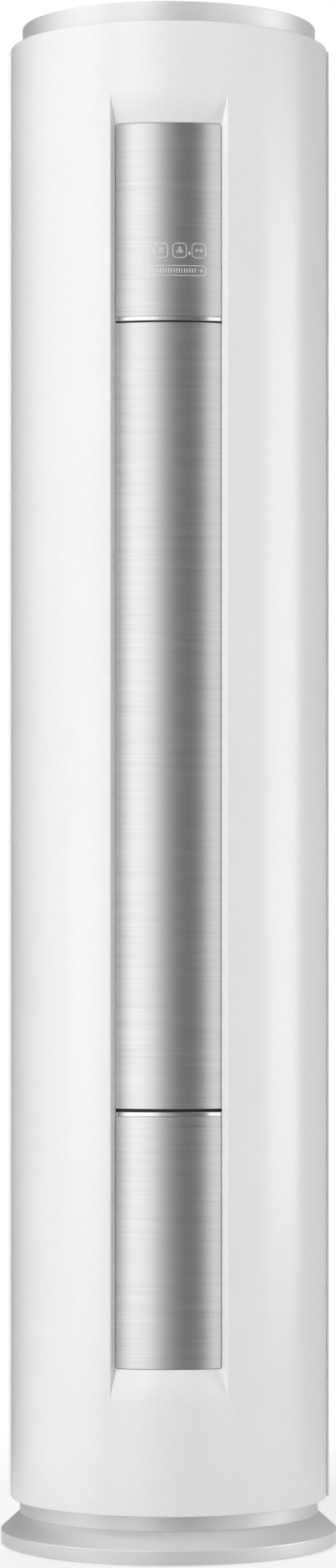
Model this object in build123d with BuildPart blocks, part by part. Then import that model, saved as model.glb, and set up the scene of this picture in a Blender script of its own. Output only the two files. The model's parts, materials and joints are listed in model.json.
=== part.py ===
from build123d import *
from math import asin, atan, cos, degrees, pi, radians, sin, sqrt, tan
import os

# A round floor-standing air conditioner.  Millimetres and degrees, +Z up, the origin on the floor
# under the middle of the cabinet, the outlet facing -Y.  Angles in plan run from +X towards +Y,
# so the front is at -90.

# ---- Base ----
foot_height = 6.0
foot_radius = 15.0
foot_circle_radius = 172.0
foot_count = 6
base_plate_thickness = 3.0
skirt_floor_gap = 1.5
skirt_radius = 199.5
skirt_rim_top = 17.6
skirt_top = 37.4
skirt_wall = 3.0
neck_radius = 177.2
neck_wall = 12.0

# ---- Casing ----
shell_bottom = 55.0
shell_top = 1775.0
front_radius = 187.5
front_wall = 3.0
shell_lip = 3.0
shell_lip_width = 19.5
shell_edge_round = 1.5
shell_fit = 0.3
rear_wall = 2.5
rear_lap = 1.0
rear_edge_round = 2.2
cap_radius = 173.9
cap_wall = 3.0
overall_height = 1800.0
cap_ledge_width = 12.0
cap_ledge_thickness = 3.0
cap_edge_round = 1.2
cover_recess = 3.0
cover_thickness = 3.0
cover_fit = 0.3

# ---- Channel in the front shell ----
channel_half_width = 67.3
channel_depth = 12.1
channel_draft = 30.2
channel_wall = 2.5
channel_top = 1690.8
channel_bottom = 193.9
panel_top = 1659.6
panel_bottom = 223.2

# ---- Panels and trim in the channel ----
panel_fit = 0.3
panel_proud = 0.2
panel_flange = 2.6
panel_lap = 1.0
panel_corner = 3.0
upper_trim_top = 1436.7
upper_trim_bottom = 1431.8
lower_trim_top = 519.8
lower_trim_bottom = 514.7
trim_thickness = 3.0

# ---- Sliding outlet door ----
door_bottom = 523.4
door_top = 1429.9
door_skin = 1.6
door_back = 5.4
door_border = 25.0
door_side_border = 8.0
door_back_web = 2.0
door_running_gap = 0.4
door_travel = 42.0
tongue_width = 2.0
tongue_height = 4.0
rail_wall = 2.0
rail_height = 9.5
rail_gap = 0.35
rail_face_gap = 0.6
gear_module = 1.5
pinion_teeth = 12
rack_full_circle_teeth = 219
gear_addendum = 1.2
gear_dedendum = 1.7
gear_backlash = 0.18
gear_width = 6.0
gear_flank_angle = 24.0
pinion_angle = -62.0
rack_spare_angle = 3.6
rack_height = 1404.0

# ---- Stepper motors ----
stepper_radius = 14.0
stepper_height = 19.0
stepper_offset = 8.0
door_motor_turn = 50.0
drive_pin_reach = 6.0
drive_pin_radius = 2.0

# ---- Chassis ----
post_width = 16.0
post_depth = 16.0
post_sheet = 1.6
post_x = 142.0
post_y = -50.0
deck_thickness = 3.0
deck_radius = 160.0
lower_deck_top = 481.0
upper_deck_bottom = 1460.0
deck_fit = 0.3

# ---- Outlet frame ----
frame_half_width = 57.0
frame_wall = 6.0
frame_bottom = 517.0
frame_top = 1436.0
frame_back = -60.0
frame_front = -149.0
frame_leg_depth = 30.0

# ---- Level blades ----
blade_count = 8
blade_first_height = 572.0
blade_pitch = 116.0
blade_axis_y = -140.0
blade_chord = 32.0
blade_thickness = 2.0
blade_end_gap = 1.3
blade_crank = 12.0
blade_notch_width = 8.0
blade_notch_depth = 9.0
pin_clearance = 0.05
link_pin_radius = 1.5
link_bar_width = 6.0
link_bar_thickness = 2.4
driven_blade = 4

# ---- Upright vanes ----
vane_spacing = 52.0
vane_axis_y = -100.0
vane_chord = 44.0
vane_thickness = 2.4
vane_end_gap = 3.0
vane_crank = 18.0
vane_pin_radius = 2.5
vane_notch_height = 12.0
vane_notch_depth = 10.0
vane_link_drop = 16.0

# ---- Cross-flow fan ----
fan_y = 20.0
fan_radius = 52.0
fan_blade_depth = 10.0
fan_blade_thickness = 1.4
fan_blade_count = 28
fan_blade_lean = 25.0
fan_bottom = 531.0
fan_top = 1424.0
fan_sections = 8
fan_disc_thickness = 2.5
fan_hub_radius = 13.0
fan_hub_height = 14.0
shaft_radius = 4.0
shaft_end_gap = 1.5
bearing_radius = 11.0
bearing_height = 9.0
bearing_bottom = 484.0
bearing_boss_wall = 4.0
motor_radius = 46.9
motor_height = 72.0
motor_edge_round = 6.0
motor_bracket_wall = 2.5
motor_bracket_height = 32.0
motor_bracket_flange = 14.0

# ---- Air guides ----
guide_wall = 2.5
scroll_gap = 4.0
scroll_lip_angle = 135.0
scroll_side_angle = 185.0
scroll_growth = 8.0
tongue_gap = 3.5
tongue_nose = 2.5
tongue_angle = -25.0
guide_flare = 3.5
guide_run = 32.0
baffle_inset = 12.0
baffle_end_y = -14.0

# ---- Cooling coil ----
coil_inner_radius = 120.0
coil_outer_radius = 155.0
coil_height = 960.0
coil_row_count = 30
coil_row_pitch = 31.0
coil_first_row = 27.0
tube_radius = 4.76
coil_plate_thickness = 1.5
coil_plate_margin = 2.0
fin_slot_count = 90
fin_slot_depth = 5.0
fin_slot_width = 2.4

# ---- Drain ----
pan_wall = 2.0
pan_height = 22.0
pan_clearance = 4.0
pan_reach = 26.0
spout_radius = 9.0
spout_bore = 7.0
spout_angle = 60.0
spout_length = 30.0
hose_wall = 2.0
hose_outlet_height = 110.0
hose_outlet_y = 186.0
hose_bend = 30.0

# ---- Refrigerant pipes ----
gas_pipe_radius = 6.35
liquid_pipe_radius = 3.2
pipe_drop_y = -34.0
gas_pipe_x = 122.0
gas_turn_y = -20.0
pipe_stub = 3.0
gas_top_bend = 8.0
pipe_bend = 14.0
pipe_sweep_bend = 40.0
pipe_exit_height = 150.0
pipe_turn_y = 80.0
pipe_end_y = 165.0
gas_exit_x = -16.0
gas_exit_height = 140.0
liquid_exit_x = 16.0
liquid_exit_height = 162.0
gas_union_radius = 9.5
liquid_union_radius = 6.0
union_length = 22.0

# ---- Pipe sleeve and cord gland in the rear shell ----
sleeve_bore = 37.5
sleeve_wall = 4.0
sleeve_flange = 5.0
sleeve_flange_thickness = 2.0
sleeve_length = 16.0
gland_x = -70.0
gland_height = 110.0
gland_bore = 4.5
gland_radius = 8.0
gland_flange = 3.0
gland_length = 14.0

# ---- Intake grille and filter ----
grille_half_angle = 55.0
grille_bottom = 540.0
grille_top = 1400.0
grille_gap = 0.8
grille_columns = 34
grille_rows = 5
grille_slot_width = 5.5
grille_rib = 14.0
grille_ledge = 1.6
filter_half_angle = 50.5
filter_guide = 1.0
filter_guide_gap = 0.3
filter_margin = 6.0
filter_frame_thickness = 2.5
filter_mesh_thickness = 0.6
filter_border = 10.0
filter_columns = 4
filter_rows = 6
filter_rib = 5.0

# ---- Electrical parts ----
box_half_width = 75.0
box_front = -148.0
box_back = -92.0
box_height = 188.0
box_sheet = 1.5
board_thickness = 1.6
board_margin = 12.0
board_standoff = 8.0
relay_pitch = 36.0
relay_width = 24.0
relay_height = 15.0
capacitor_height = 24.0
terminal_length = 60.0
terminal_depth = 22.0
terminal_height = 18.0
display_board_half_width = 52.0
display_board_height = 70.0
display_board_bottom = 1470.0
display_board_y = -160.0
peg_radius = 2.5
peg_inset = 6.0

# ---- Screws and fixing holes in the top ----
screw_count = 4
screw_head_radius = 4.0
screw_head_height = 2.2
screw_radius = 2.0
screw_length = 9.0
fixing_hole_radius = 2.6
fixing_hole_spacing = 60.0
fixing_hole_y = 120.0

# ---- Sizes that follow from those above ----
rear_inner_radius = front_radius + shell_fit
rear_radius = rear_inner_radius + rear_wall
ledge_inner_radius = rear_inner_radius - shell_fit - rear_wall
channel_floor = front_radius - channel_depth
panel_face = channel_floor + panel_proud
door_radius = channel_floor - door_running_gap
door_back_face = door_radius - door_skin
door_inner_radius = door_back_face - door_back
tongue_radius = door_inner_radius + tongue_width
rail_outer_radius = tongue_radius + rail_gap + rail_wall
rail_inner_radius = door_inner_radius - rail_gap - rail_wall
rack_pitch_radius = gear_module * rack_full_circle_teeth / 2
pinion_pitch_radius = gear_module * pinion_teeth / 2
pinion_centre_radius = rack_pitch_radius - pinion_pitch_radius
pinion_x = pinion_centre_radius * cos(radians(pinion_angle))
pinion_y = pinion_centre_radius * sin(radians(pinion_angle))
pan_floor = lower_deck_top + pan_wall
coil_middle_radius = (coil_inner_radius + coil_outer_radius) / 2
first_row_height = pan_floor + coil_first_row
last_row_height = first_row_height + (coil_row_count - 1) * coil_row_pitch
base_plate_top = foot_height + base_plate_thickness
inner_half_width = frame_half_width - frame_wall
blade_half_length = inner_half_width - blade_end_gap
hose_radius = spout_radius + pin_clearance + hose_wall
spout_x = coil_middle_radius * cos(radians(spout_angle))
spout_y = coil_middle_radius * sin(radians(spout_angle))


def save(piece, name):
    """Label a finished piece and write it as its own STEP file."""
    piece.part.label = name
    export_step(piece.part, f"parts/{name}.step")


def plan_point(radius, angle):
    """A point at a radius and an angle about the cabinet's axis."""
    return (radius * cos(radians(angle)), radius * sin(radians(angle)))


def radial_plane(angle):
    """The upright plane through the axis at an angle: its X is the radius, its Y is height."""
    a = radians(angle)
    return Plane(origin=(0, 0, 0), x_dir=(cos(a), sin(a), 0), z_dir=(sin(a), -cos(a), 0))


def arc_band(inner, outer, middle, half_angle):
    """A sector of a ring in plan, for a sketch in progress."""
    start = middle - half_angle
    with BuildLine() as outline:
        far = CenterArc((0, 0), outer, start, 2 * half_angle)
        near = CenterArc((0, 0), inner, start, 2 * half_angle)
        Line(far @ 0, near @ 0)
        Line(far @ 1, near @ 1)
    make_face(outline.edges())


def profile(*points):
    """A closed outline of radius and height, for a sketch in progress on a radial plane."""
    with BuildLine() as outline:
        Polyline(*points, close=True)
    make_face(outline.edges())


def drafted_side(radius, wall):
    """The point where the channel's drafted side wall, made thicker by wall, meets a radius."""
    slope = tan(radians(channel_draft))
    outer_depth = sqrt(front_radius**2 - channel_half_width**2)
    at_axis = channel_half_width - slope * outer_depth + wall / cos(radians(channel_draft))
    a = 1 + slope**2
    b = 2 * at_axis * slope
    c = at_axis**2 - radius**2
    depth = (-b + sqrt(b**2 - 4 * a * c)) / (2 * a)
    return (at_axis + slope * depth, -depth)


def channel_outline(inner, outer, wall):
    """The channel in plan: drafted sides between two arcs about the axis."""
    outer_x, outer_y = drafted_side(outer, wall)
    inner_x, inner_y = drafted_side(inner, wall)
    with BuildLine() as outline:
        ThreePointArc((-outer_x, outer_y), (0, -outer), (outer_x, outer_y))
        Line((outer_x, outer_y), (inner_x, inner_y))
        ThreePointArc((inner_x, inner_y), (0, -inner), (-inner_x, inner_y))
        Line((-inner_x, inner_y), (-outer_x, outer_y))
    make_face(outline.edges())


opening_x = drafted_side(channel_floor, 0)[0]
opening_half_angle = degrees(asin(opening_x / channel_floor))
face_half_angle = opening_half_angle - degrees(panel_fit / channel_floor)
lapped_half_angle = opening_half_angle + panel_lap


# ---- Rubber feet ----
with BuildPart() as rubber_feet:
    with BuildSketch(Plane.XY):
        with PolarLocations(foot_circle_radius, foot_count, start_angle=30):
            Circle(foot_radius)
    extrude(amount=foot_height)
    chamfer(rubber_feet.edges().group_by(Axis.Z)[0], length=1.0)
save(rubber_feet, "rubber_feet")

# ---- Steel base plate ----
with BuildPart() as base_plate:
    with BuildSketch(Plane.XY.offset(foot_height)):
        Circle(skirt_radius - skirt_wall - shell_fit)
    extrude(amount=base_plate_thickness)
save(base_plate, "base_plate")

# ---- Silver skirt: a short rim, then a cone up to the neck ----
cone_slope = (skirt_radius - neck_radius) / (skirt_top - skirt_rim_top)
cone_angle = atan(cone_slope)
skirt_inner_rim_top = skirt_rim_top - skirt_wall * tan(cone_angle / 2)
skirt_under_top = skirt_top - skirt_wall
skirt_inner_top_radius = (
    skirt_radius - (skirt_under_top - skirt_rim_top) * cone_slope - skirt_wall / cos(cone_angle)
)
with BuildPart() as base_skirt:
    with BuildSketch(radial_plane(0)):
        profile(
            (skirt_radius, skirt_floor_gap),
            (skirt_radius, skirt_rim_top),
            (neck_radius, skirt_top),
            (neck_radius - neck_wall, skirt_top),
            (neck_radius - neck_wall, skirt_under_top),
            (skirt_inner_top_radius, skirt_under_top),
            (skirt_radius - skirt_wall, skirt_inner_rim_top),
            (skirt_radius - skirt_wall, skirt_floor_gap),
        )
    revolve(axis=Axis.Z)
save(base_skirt, "base_skirt")

# ---- Recessed neck ring between the skirt and the casing ----
with BuildPart() as neck_ring:
    with BuildSketch(Plane.XY.offset(skirt_top)):
        Circle(neck_radius)
        Circle(neck_radius - neck_wall, mode=Mode.SUBTRACT)
    extrude(amount=shell_bottom - skirt_top)
save(neck_ring, "neck_ring")

# ---- Channel of the front shell: its hollow, and the liner around it ----
ramp_rise = channel_top - panel_top
ramp_angle = atan(channel_depth / ramp_rise)
ramp_thickness_up = channel_wall / sin(ramp_angle)
clear_outside = 6.0
outside_radius = front_radius + clear_outside
ramp_run_out = ramp_rise * clear_outside / channel_depth

with BuildPart() as channel_hollow:
    with BuildSketch(Plane.XY):
        channel_outline(channel_floor - clear_outside, outside_radius, 0)
    extrude(amount=overall_height)
    with BuildSketch(radial_plane(-180)):
        profile(
            (channel_floor - clear_outside, panel_bottom),
            (channel_floor, panel_bottom),
            (outside_radius, channel_bottom - ramp_run_out),
            (outside_radius, channel_top + ramp_run_out),
            (channel_floor, panel_top),
            (channel_floor - clear_outside, panel_top),
        )
    revolve(axis=Axis.Z, revolution_arc=180, mode=Mode.INTERSECT)

liner_outer_radius = front_radius - front_wall / 2
liner_run = ramp_rise * (liner_outer_radius - channel_floor) / channel_depth
with BuildPart() as channel_liner:
    with BuildSketch(Plane.XY):
        channel_outline(channel_floor, liner_outer_radius, channel_wall)
    extrude(amount=overall_height)
    with BuildSketch(radial_plane(-180)):
        profile(
            (channel_floor, panel_bottom - ramp_thickness_up),
            (liner_outer_radius, panel_bottom - liner_run - ramp_thickness_up),
            (liner_outer_radius, panel_top + liner_run + ramp_thickness_up),
            (channel_floor, panel_top + ramp_thickness_up),
        )
    revolve(axis=Axis.Z, revolution_arc=180, mode=Mode.INTERSECT)

# ---- Front shell: a half cylinder with the channel let into it ----
with BuildPart() as front_shell:
    with BuildSketch(radial_plane(-180)):
        profile(
            (front_radius, shell_bottom),
            (front_radius, shell_top),
            (front_radius - shell_lip_width, shell_top),
            (front_radius - shell_lip_width, shell_top - shell_lip),
            (front_radius - front_wall, shell_top - shell_lip),
            (front_radius - front_wall, shell_bottom + shell_lip),
            (front_radius - shell_lip_width, shell_bottom + shell_lip),
            (front_radius - shell_lip_width, shell_bottom),
        )
    revolve(axis=Axis.Z, revolution_arc=180)
    outer_rims = front_shell.edges().filter_by(GeomType.CIRCLE)
    fillet(outer_rims.filter_by(lambda e: abs(e.radius - front_radius) < 0.01), shell_edge_round)
    add(channel_liner.part)
    add(channel_hollow.part, mode=Mode.SUBTRACT)
save(front_shell, "front_shell")

# ---- Rear shell: the other half, lapping over the front shell at both sides ----
with BuildPart() as rear_shell:
    with BuildSketch(radial_plane(-rear_lap)):
        profile(
            (rear_radius, shell_bottom),
            (rear_radius, shell_top),
            (rear_inner_radius, shell_top),
            (rear_inner_radius, shell_bottom),
        )
    revolve(axis=Axis.Z, revolution_arc=180 + 2 * rear_lap)
    outer_rims = rear_shell.edges().filter_by(GeomType.CIRCLE)
    fillet(outer_rims.filter_by(lambda e: abs(e.radius - rear_radius) < 0.01), rear_edge_round)
    with BuildSketch(Plane.XY.offset(shell_bottom), Plane.XY.offset(shell_top - shell_lip)):
        arc_band(front_radius - shell_lip_width, rear_inner_radius + 1.0, 90, 90)
    extrude(amount=shell_lip)
    with BuildSketch(Plane.XY.offset(grille_bottom)):
        arc_band(rear_inner_radius - 3.0, rear_radius + 3.0, 90, grille_half_angle)
    extrude(amount=grille_top - grille_bottom, mode=Mode.SUBTRACT)
    with BuildSketch(Plane.XY.offset(grille_bottom)):
        for side in (-1, 1):
            shut_line = 90 + side * grille_half_angle
            behind_shell = shut_line + side * grille_ledge
            arc_band(ledge_inner_radius, rear_inner_radius + 1.0, behind_shell, grille_ledge)
            arc_band(ledge_inner_radius, rear_inner_radius - shell_fit, shut_line, grille_ledge)
    extrude(amount=grille_top - grille_bottom)
    with BuildSketch(Plane.XZ):
        with Locations((0, pipe_exit_height)):
            Circle(sleeve_bore + sleeve_wall + shell_fit)
        with Locations((spout_x, hose_outlet_height)):
            Circle(hose_radius + shell_fit)
        with Locations((gland_x, gland_height)):
            Circle(gland_radius + shell_fit)
    extrude(amount=-overall_height, mode=Mode.SUBTRACT)
save(rear_shell, "rear_shell")

# ---- Silver cap ring with a ledge inside, and the cover that lies on it ----
ledge_top = overall_height - cover_recess - cover_thickness
ledge_inner = cap_radius - cap_wall - cap_ledge_width
cover_radius = cap_radius - cap_wall - cover_fit
with BuildPart() as cap_ring:
    with BuildSketch(radial_plane(0)):
        profile(
            (cap_radius, shell_top),
            (cap_radius, overall_height),
            (cap_radius - cap_wall, overall_height),
            (cap_radius - cap_wall, ledge_top),
            (ledge_inner, ledge_top),
            (ledge_inner, ledge_top - cap_ledge_thickness),
            (cap_radius - cap_wall, ledge_top - cap_ledge_thickness),
            (cap_radius - cap_wall, shell_top),
        )
    revolve(axis=Axis.Z)
    fillet(cap_ring.edges().group_by(Axis.Z)[-1], cap_edge_round)
    screw_ring_radius = ledge_inner + cap_ledge_width / 2
    with BuildSketch(Plane.XY.offset(shell_top)):
        with PolarLocations(screw_ring_radius, screw_count, start_angle=45):
            Circle(screw_radius + pin_clearance)
    extrude(amount=overall_height - shell_top, mode=Mode.SUBTRACT)
save(cap_ring, "cap_ring")

with BuildPart() as top_cover:
    with BuildSketch(Plane.XY.offset(ledge_top)):
        Circle(cover_radius)
        with PolarLocations(screw_ring_radius, screw_count, start_angle=45):
            Circle(screw_radius + pin_clearance, mode=Mode.SUBTRACT)
        with Locations((0, fixing_hole_y)):
            with GridLocations(fixing_hole_spacing, 1, 2, 1):
                Circle(fixing_hole_radius, mode=Mode.SUBTRACT)
    extrude(amount=cover_thickness)
save(top_cover, "top_cover")

with BuildPart() as top_screws:
    with BuildSketch(Plane.XY.offset(ledge_top + cover_thickness)):
        with PolarLocations(screw_ring_radius, screw_count, start_angle=45):
            Circle(screw_head_radius)
    extrude(amount=screw_head_height)
    fillet(top_screws.edges().group_by(Axis.Z)[-1], screw_head_height / 2)
    with BuildSketch(Plane.XY.offset(ledge_top + cover_thickness)):
        with PolarLocations(screw_ring_radius, screw_count, start_angle=45):
            Circle(screw_radius)
    extrude(amount=-screw_length)
save(top_screws, "top_screws")

# ---- Display panel: a curved face plate in the channel's floor, its flange behind the walls ----
flange_radius = channel_floor - panel_fit
with BuildPart() as display_panel:
    with BuildSketch(Plane.XY.offset(upper_trim_top)):
        arc_band(panel_face - trim_thickness, panel_face, -90, face_half_angle)
    extrude(amount=panel_top - panel_fit - upper_trim_top)
    fillet(display_panel.edges().group_by(Axis.Z)[-1].filter_by(GeomType.LINE), panel_corner)
    with BuildSketch(Plane.XY.offset(upper_trim_top)):
        arc_band(flange_radius - panel_flange, flange_radius, -90, lapped_half_angle)
    extrude(amount=panel_top + panel_flange - upper_trim_top)
    peg_x = display_board_half_width - peg_inset
    peg_middle = display_board_bottom + display_board_height / 2
    with BuildSketch(Plane.XZ.offset(-display_board_y)):
        with Locations((0, peg_middle)):
            with GridLocations(2 * peg_x, display_board_height - 2 * peg_inset, 2, 2):
                Circle(peg_radius)
    extrude(amount=sqrt((flange_radius - 1) ** 2 - peg_x**2) + display_board_y)
save(display_panel, "display_panel")

# ---- Display circuit board on the panel's pegs ----
with BuildPart() as display_board:
    with BuildSketch(Plane.XZ.offset(-display_board_y)):
        with Locations((0, peg_middle)):
            Rectangle(2 * display_board_half_width, display_board_height)
    extrude(amount=-board_thickness)
    with BuildSketch(Plane.XZ.offset(-display_board_y)):
        with Locations((0, peg_middle)):
            Rectangle(display_board_half_width, display_board_height / 3)
    extrude(amount=4.0)
save(display_board, "display_board")

# ---- Lower panel ----
with BuildPart() as lower_panel:
    with BuildSketch(Plane.XY.offset(panel_bottom + panel_fit)):
        arc_band(panel_face - trim_thickness, panel_face, -90, face_half_angle)
    extrude(amount=lower_trim_bottom - panel_bottom - panel_fit)
    fillet(lower_panel.edges().group_by(Axis.Z)[0].filter_by(GeomType.LINE), panel_corner)
    with BuildSketch(Plane.XY.offset(panel_bottom - panel_flange)):
        arc_band(flange_radius - panel_flange, flange_radius, -90, lapped_half_angle)
    extrude(amount=lower_trim_bottom - panel_bottom + panel_flange)
save(lower_panel, "lower_panel")

# ---- Chrome strips above and below the door ----
with BuildPart() as trim_strips:
    for strip_bottom, strip_top in (
        (upper_trim_bottom, upper_trim_top),
        (lower_trim_bottom, lower_trim_top),
    ):
        with BuildSketch(Plane.XY.offset(strip_bottom)):
            arc_band(panel_face - trim_thickness, panel_face, -90, face_half_angle)
        extrude(amount=strip_top - strip_bottom)
save(trim_strips, "trim_strips")

# ---- Two folded steel posts that carry the decks ----
with BuildPart() as chassis_posts:
    with BuildSketch(Plane.XY.offset(base_plate_top)):
        for side in (-1, 1):
            with Locations((side * post_x, post_y)):
                Rectangle(post_width, post_depth)
            with Locations((side * (post_x - post_sheet), post_y)):
                Rectangle(post_width, post_depth - 2 * post_sheet, mode=Mode.SUBTRACT)
    extrude(amount=shell_top - shell_lip - base_plate_top)
save(chassis_posts, "chassis_posts")


def post_notches():
    """Cut the posts' notches out of a deck's sketch in progress."""
    for side in (-1, 1):
        with Locations((side * (post_x + post_width), post_y)):
            Rectangle(3 * post_width + 2 * deck_fit, post_depth + 2 * deck_fit, mode=Mode.SUBTRACT)


# ---- Lower deck with the fan bearing's boss ----
with BuildPart() as lower_deck:
    with BuildSketch(Plane.XY.offset(lower_deck_top - deck_thickness)):
        Circle(deck_radius)
        post_notches()
        with Locations((spout_x, spout_y)):
            Circle(spout_radius + deck_fit, mode=Mode.SUBTRACT)
        with Locations(((gas_pipe_x + coil_middle_radius) / 2, pipe_drop_y)):
            Rectangle(4 * gas_pipe_radius + 10, 2 * gas_pipe_radius + 1, mode=Mode.SUBTRACT)
    extrude(amount=deck_thickness)
    with BuildSketch(Plane.XY.offset(lower_deck_top)):
        with Locations((0, fan_y)):
            Circle(bearing_radius + bearing_boss_wall)
    extrude(amount=bearing_bottom + bearing_height - lower_deck_top)
    with BuildSketch(Plane.XY.offset(bearing_bottom)):
        with Locations((0, fan_y)):
            Circle(bearing_radius)
    extrude(amount=bearing_height, mode=Mode.SUBTRACT)
save(lower_deck, "lower_deck")

# ---- Upper deck under the motor ----
with BuildPart() as upper_deck:
    with BuildSketch(Plane.XY.offset(upper_deck_bottom)):
        Circle(deck_radius)
        post_notches()
        with Locations((0, fan_y)):
            Circle(2 * shaft_radius, mode=Mode.SUBTRACT)
    extrude(amount=deck_thickness)
save(upper_deck, "upper_deck")

# ---- Outlet frame: side bars with the blades' bearings, plates with the vanes' bearings ----
blade_heights = [blade_first_height + blade_pitch * i for i in range(blade_count)]
vane_places = [-vane_spacing / 2, vane_spacing / 2]
bar_middle = frame_half_width - frame_wall / 2
bar_depth = frame_back - frame_front
stepper_shelf = 3.0
door_motor_top = rack_height - 2.0
door_motor_bottom = door_motor_top - stepper_height
with BuildPart() as outlet_frame:
    with BuildSketch(Plane.XY.offset(frame_bottom)):
        with Locations((0, (frame_front + frame_back) / 2)):
            with GridLocations(2 * bar_middle, 1, 2, 1):
                Rectangle(frame_wall, bar_depth)
    extrude(amount=frame_top - frame_bottom)
    with BuildSketch(Plane.XY.offset(lower_deck_top)):
        with Locations((0, frame_back - frame_leg_depth / 2)):
            with GridLocations(2 * bar_middle, 1, 2, 1):
                Rectangle(frame_wall, frame_leg_depth)
    extrude(amount=upper_deck_bottom - lower_deck_top)
    with BuildSketch(
        Plane.XY.offset(frame_bottom),
        Plane.XY.offset(frame_top - frame_wall),
    ):
        with Locations((0, (frame_back - overall_height) / 2)):
            Rectangle(2 * frame_half_width, frame_back + overall_height)
        Circle(rail_inner_radius - shell_fit, mode=Mode.INTERSECT)
    extrude(amount=frame_wall)
    with BuildSketch(Plane.XY.offset(frame_bottom)):
        with Locations((0, vane_axis_y)):
            with GridLocations(vane_spacing, 1, 2, 1):
                Circle(vane_pin_radius + pin_clearance)
    extrude(amount=frame_top - frame_bottom, mode=Mode.SUBTRACT)
    with BuildSketch(Plane.YZ.offset(-frame_half_width)):
        for height in blade_heights:
            with Locations((blade_axis_y, height)):
                Circle(drive_pin_radius + pin_clearance)
    extrude(amount=2 * frame_half_width, mode=Mode.SUBTRACT)
    with BuildSketch(Plane.XY.offset(door_motor_bottom - stepper_shelf)):
        with Locations((frame_half_width + stepper_radius, -128)):
            Rectangle(2 * stepper_radius, stepper_radius)
    extrude(amount=stepper_shelf)
save(outlet_frame, "outlet_frame")

# ---- Sliding outlet door: metal skin, moulded frame with tongues, and the rack on its back ----
with BuildPart() as outlet_door:
    with BuildSketch(Plane.XY.offset(door_bottom)):
        arc_band(door_back_face, door_radius, -90, lapped_half_angle)
    extrude(amount=door_top - door_bottom)
save(outlet_door, "outlet_door")

frame_inset = 1.0
door_frame_bottom = door_bottom + frame_inset
door_frame_top = door_top - frame_inset
pocket_half_angle = lapped_half_angle - degrees(door_side_border / door_radius)
with BuildPart() as door_frame:
    with BuildSketch(Plane.XY.offset(door_frame_bottom)):
        arc_band(door_inner_radius, door_back_face, -90, lapped_half_angle)
    extrude(amount=door_frame_top - door_frame_bottom)
    with BuildSketch(Plane.XY.offset(door_bottom - tongue_height)):
        arc_band(door_inner_radius, tongue_radius, -90, lapped_half_angle)
    extrude(amount=door_top - door_bottom + 2 * tongue_height)
    with BuildSketch(Plane.XY.offset(door_frame_bottom + door_border)):
        arc_band(
            door_inner_radius - 1.0,
            door_back_face - door_back_web,
            -90,
            pocket_half_angle,
        )
    extrude(amount=door_frame_top - door_frame_bottom - 2 * door_border, mode=Mode.SUBTRACT)
save(door_frame, "door_frame")

tooth_half = pi * gear_module / 4 - gear_backlash
flank = tan(radians(gear_flank_angle))
tip_half = tooth_half - gear_addendum * flank
root_half = tooth_half + gear_dedendum * flank
tooth_sink = 0.3
rack_pitch_angle = 360 / rack_full_circle_teeth
rack_root_radius = rack_pitch_radius + gear_dedendum
rack_tip_radius = rack_pitch_radius - gear_addendum
rack_teeth = int((door_travel + 2 * rack_spare_angle) / rack_pitch_angle)
rack_teeth_after = int(rack_spare_angle / rack_pitch_angle)
rack_last_tooth = pinion_angle + (rack_teeth_after - 0.5) * rack_pitch_angle
rack_first_tooth = rack_last_tooth - (rack_teeth - 1) * rack_pitch_angle
rack_middle = (rack_first_tooth + rack_last_tooth) / 2
with BuildPart() as door_rack:
    with BuildSketch(Plane.XY.offset(rack_height)):
        arc_band(
            rack_root_radius,
            door_inner_radius,
            rack_middle,
            rack_last_tooth - rack_middle + rack_pitch_angle,
        )
        with PolarLocations(
            0,
            rack_teeth,
            start_angle=rack_first_tooth,
            angular_range=rack_last_tooth - rack_first_tooth,
            endpoint=True,
        ):
            Polygon(
                (rack_root_radius + tooth_sink, -root_half),
                (rack_root_radius + tooth_sink, root_half),
                (rack_tip_radius, tip_half),
                (rack_tip_radius, -tip_half),
                align=None,
            )
    extrude(amount=gear_width)
save(door_rack, "door_rack")

# ---- Pinion on the door motor's shaft ----
pinion_root_radius = pinion_pitch_radius - gear_dedendum
with BuildPart() as door_pinion:
    with BuildSketch(Plane(origin=(pinion_x, pinion_y, rack_height))):
        Circle(pinion_root_radius)
        with PolarLocations(0, pinion_teeth, start_angle=pinion_angle):
            Polygon(
                (pinion_root_radius - tooth_sink, -root_half),
                (pinion_pitch_radius + gear_addendum, -tip_half),
                (pinion_pitch_radius + gear_addendum, tip_half),
                (pinion_root_radius - tooth_sink, root_half),
                align=None,
            )
    extrude(amount=gear_width)
    with BuildSketch(Plane(origin=(pinion_x, pinion_y, door_motor_top - drive_pin_reach))):
        Circle(drive_pin_radius)
    extrude(amount=drive_pin_reach + rack_height - door_motor_top)
save(door_pinion, "door_pinion")

# ---- Rails above and below the door, curved about the cabinet's axis ----
rail_half_angle = lapped_half_angle + door_travel / 2 + 0.5
rail_middle = -90 + door_travel / 2
rail_starts = (door_top + rail_face_gap, door_bottom - rail_face_gap - rail_height)
groove_depth = tongue_height - rail_face_gap + rail_gap
groove_starts = (door_top + rail_face_gap, door_bottom - rail_face_gap - groove_depth)
with BuildPart() as door_rails:
    for rail_start, groove_start in zip(rail_starts, groove_starts):
        with BuildSketch(Plane.XY.offset(rail_start)):
            arc_band(rail_inner_radius, rail_outer_radius, rail_middle, rail_half_angle)
        extrude(amount=rail_height)
        with BuildSketch(Plane.XY.offset(groove_start)):
            arc_band(
                door_inner_radius - rail_gap,
                tongue_radius + rail_gap,
                rail_middle,
                rail_half_angle + 1.0,
            )
        extrude(amount=groove_depth, mode=Mode.SUBTRACT)
save(door_rails, "door_rails")

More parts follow.
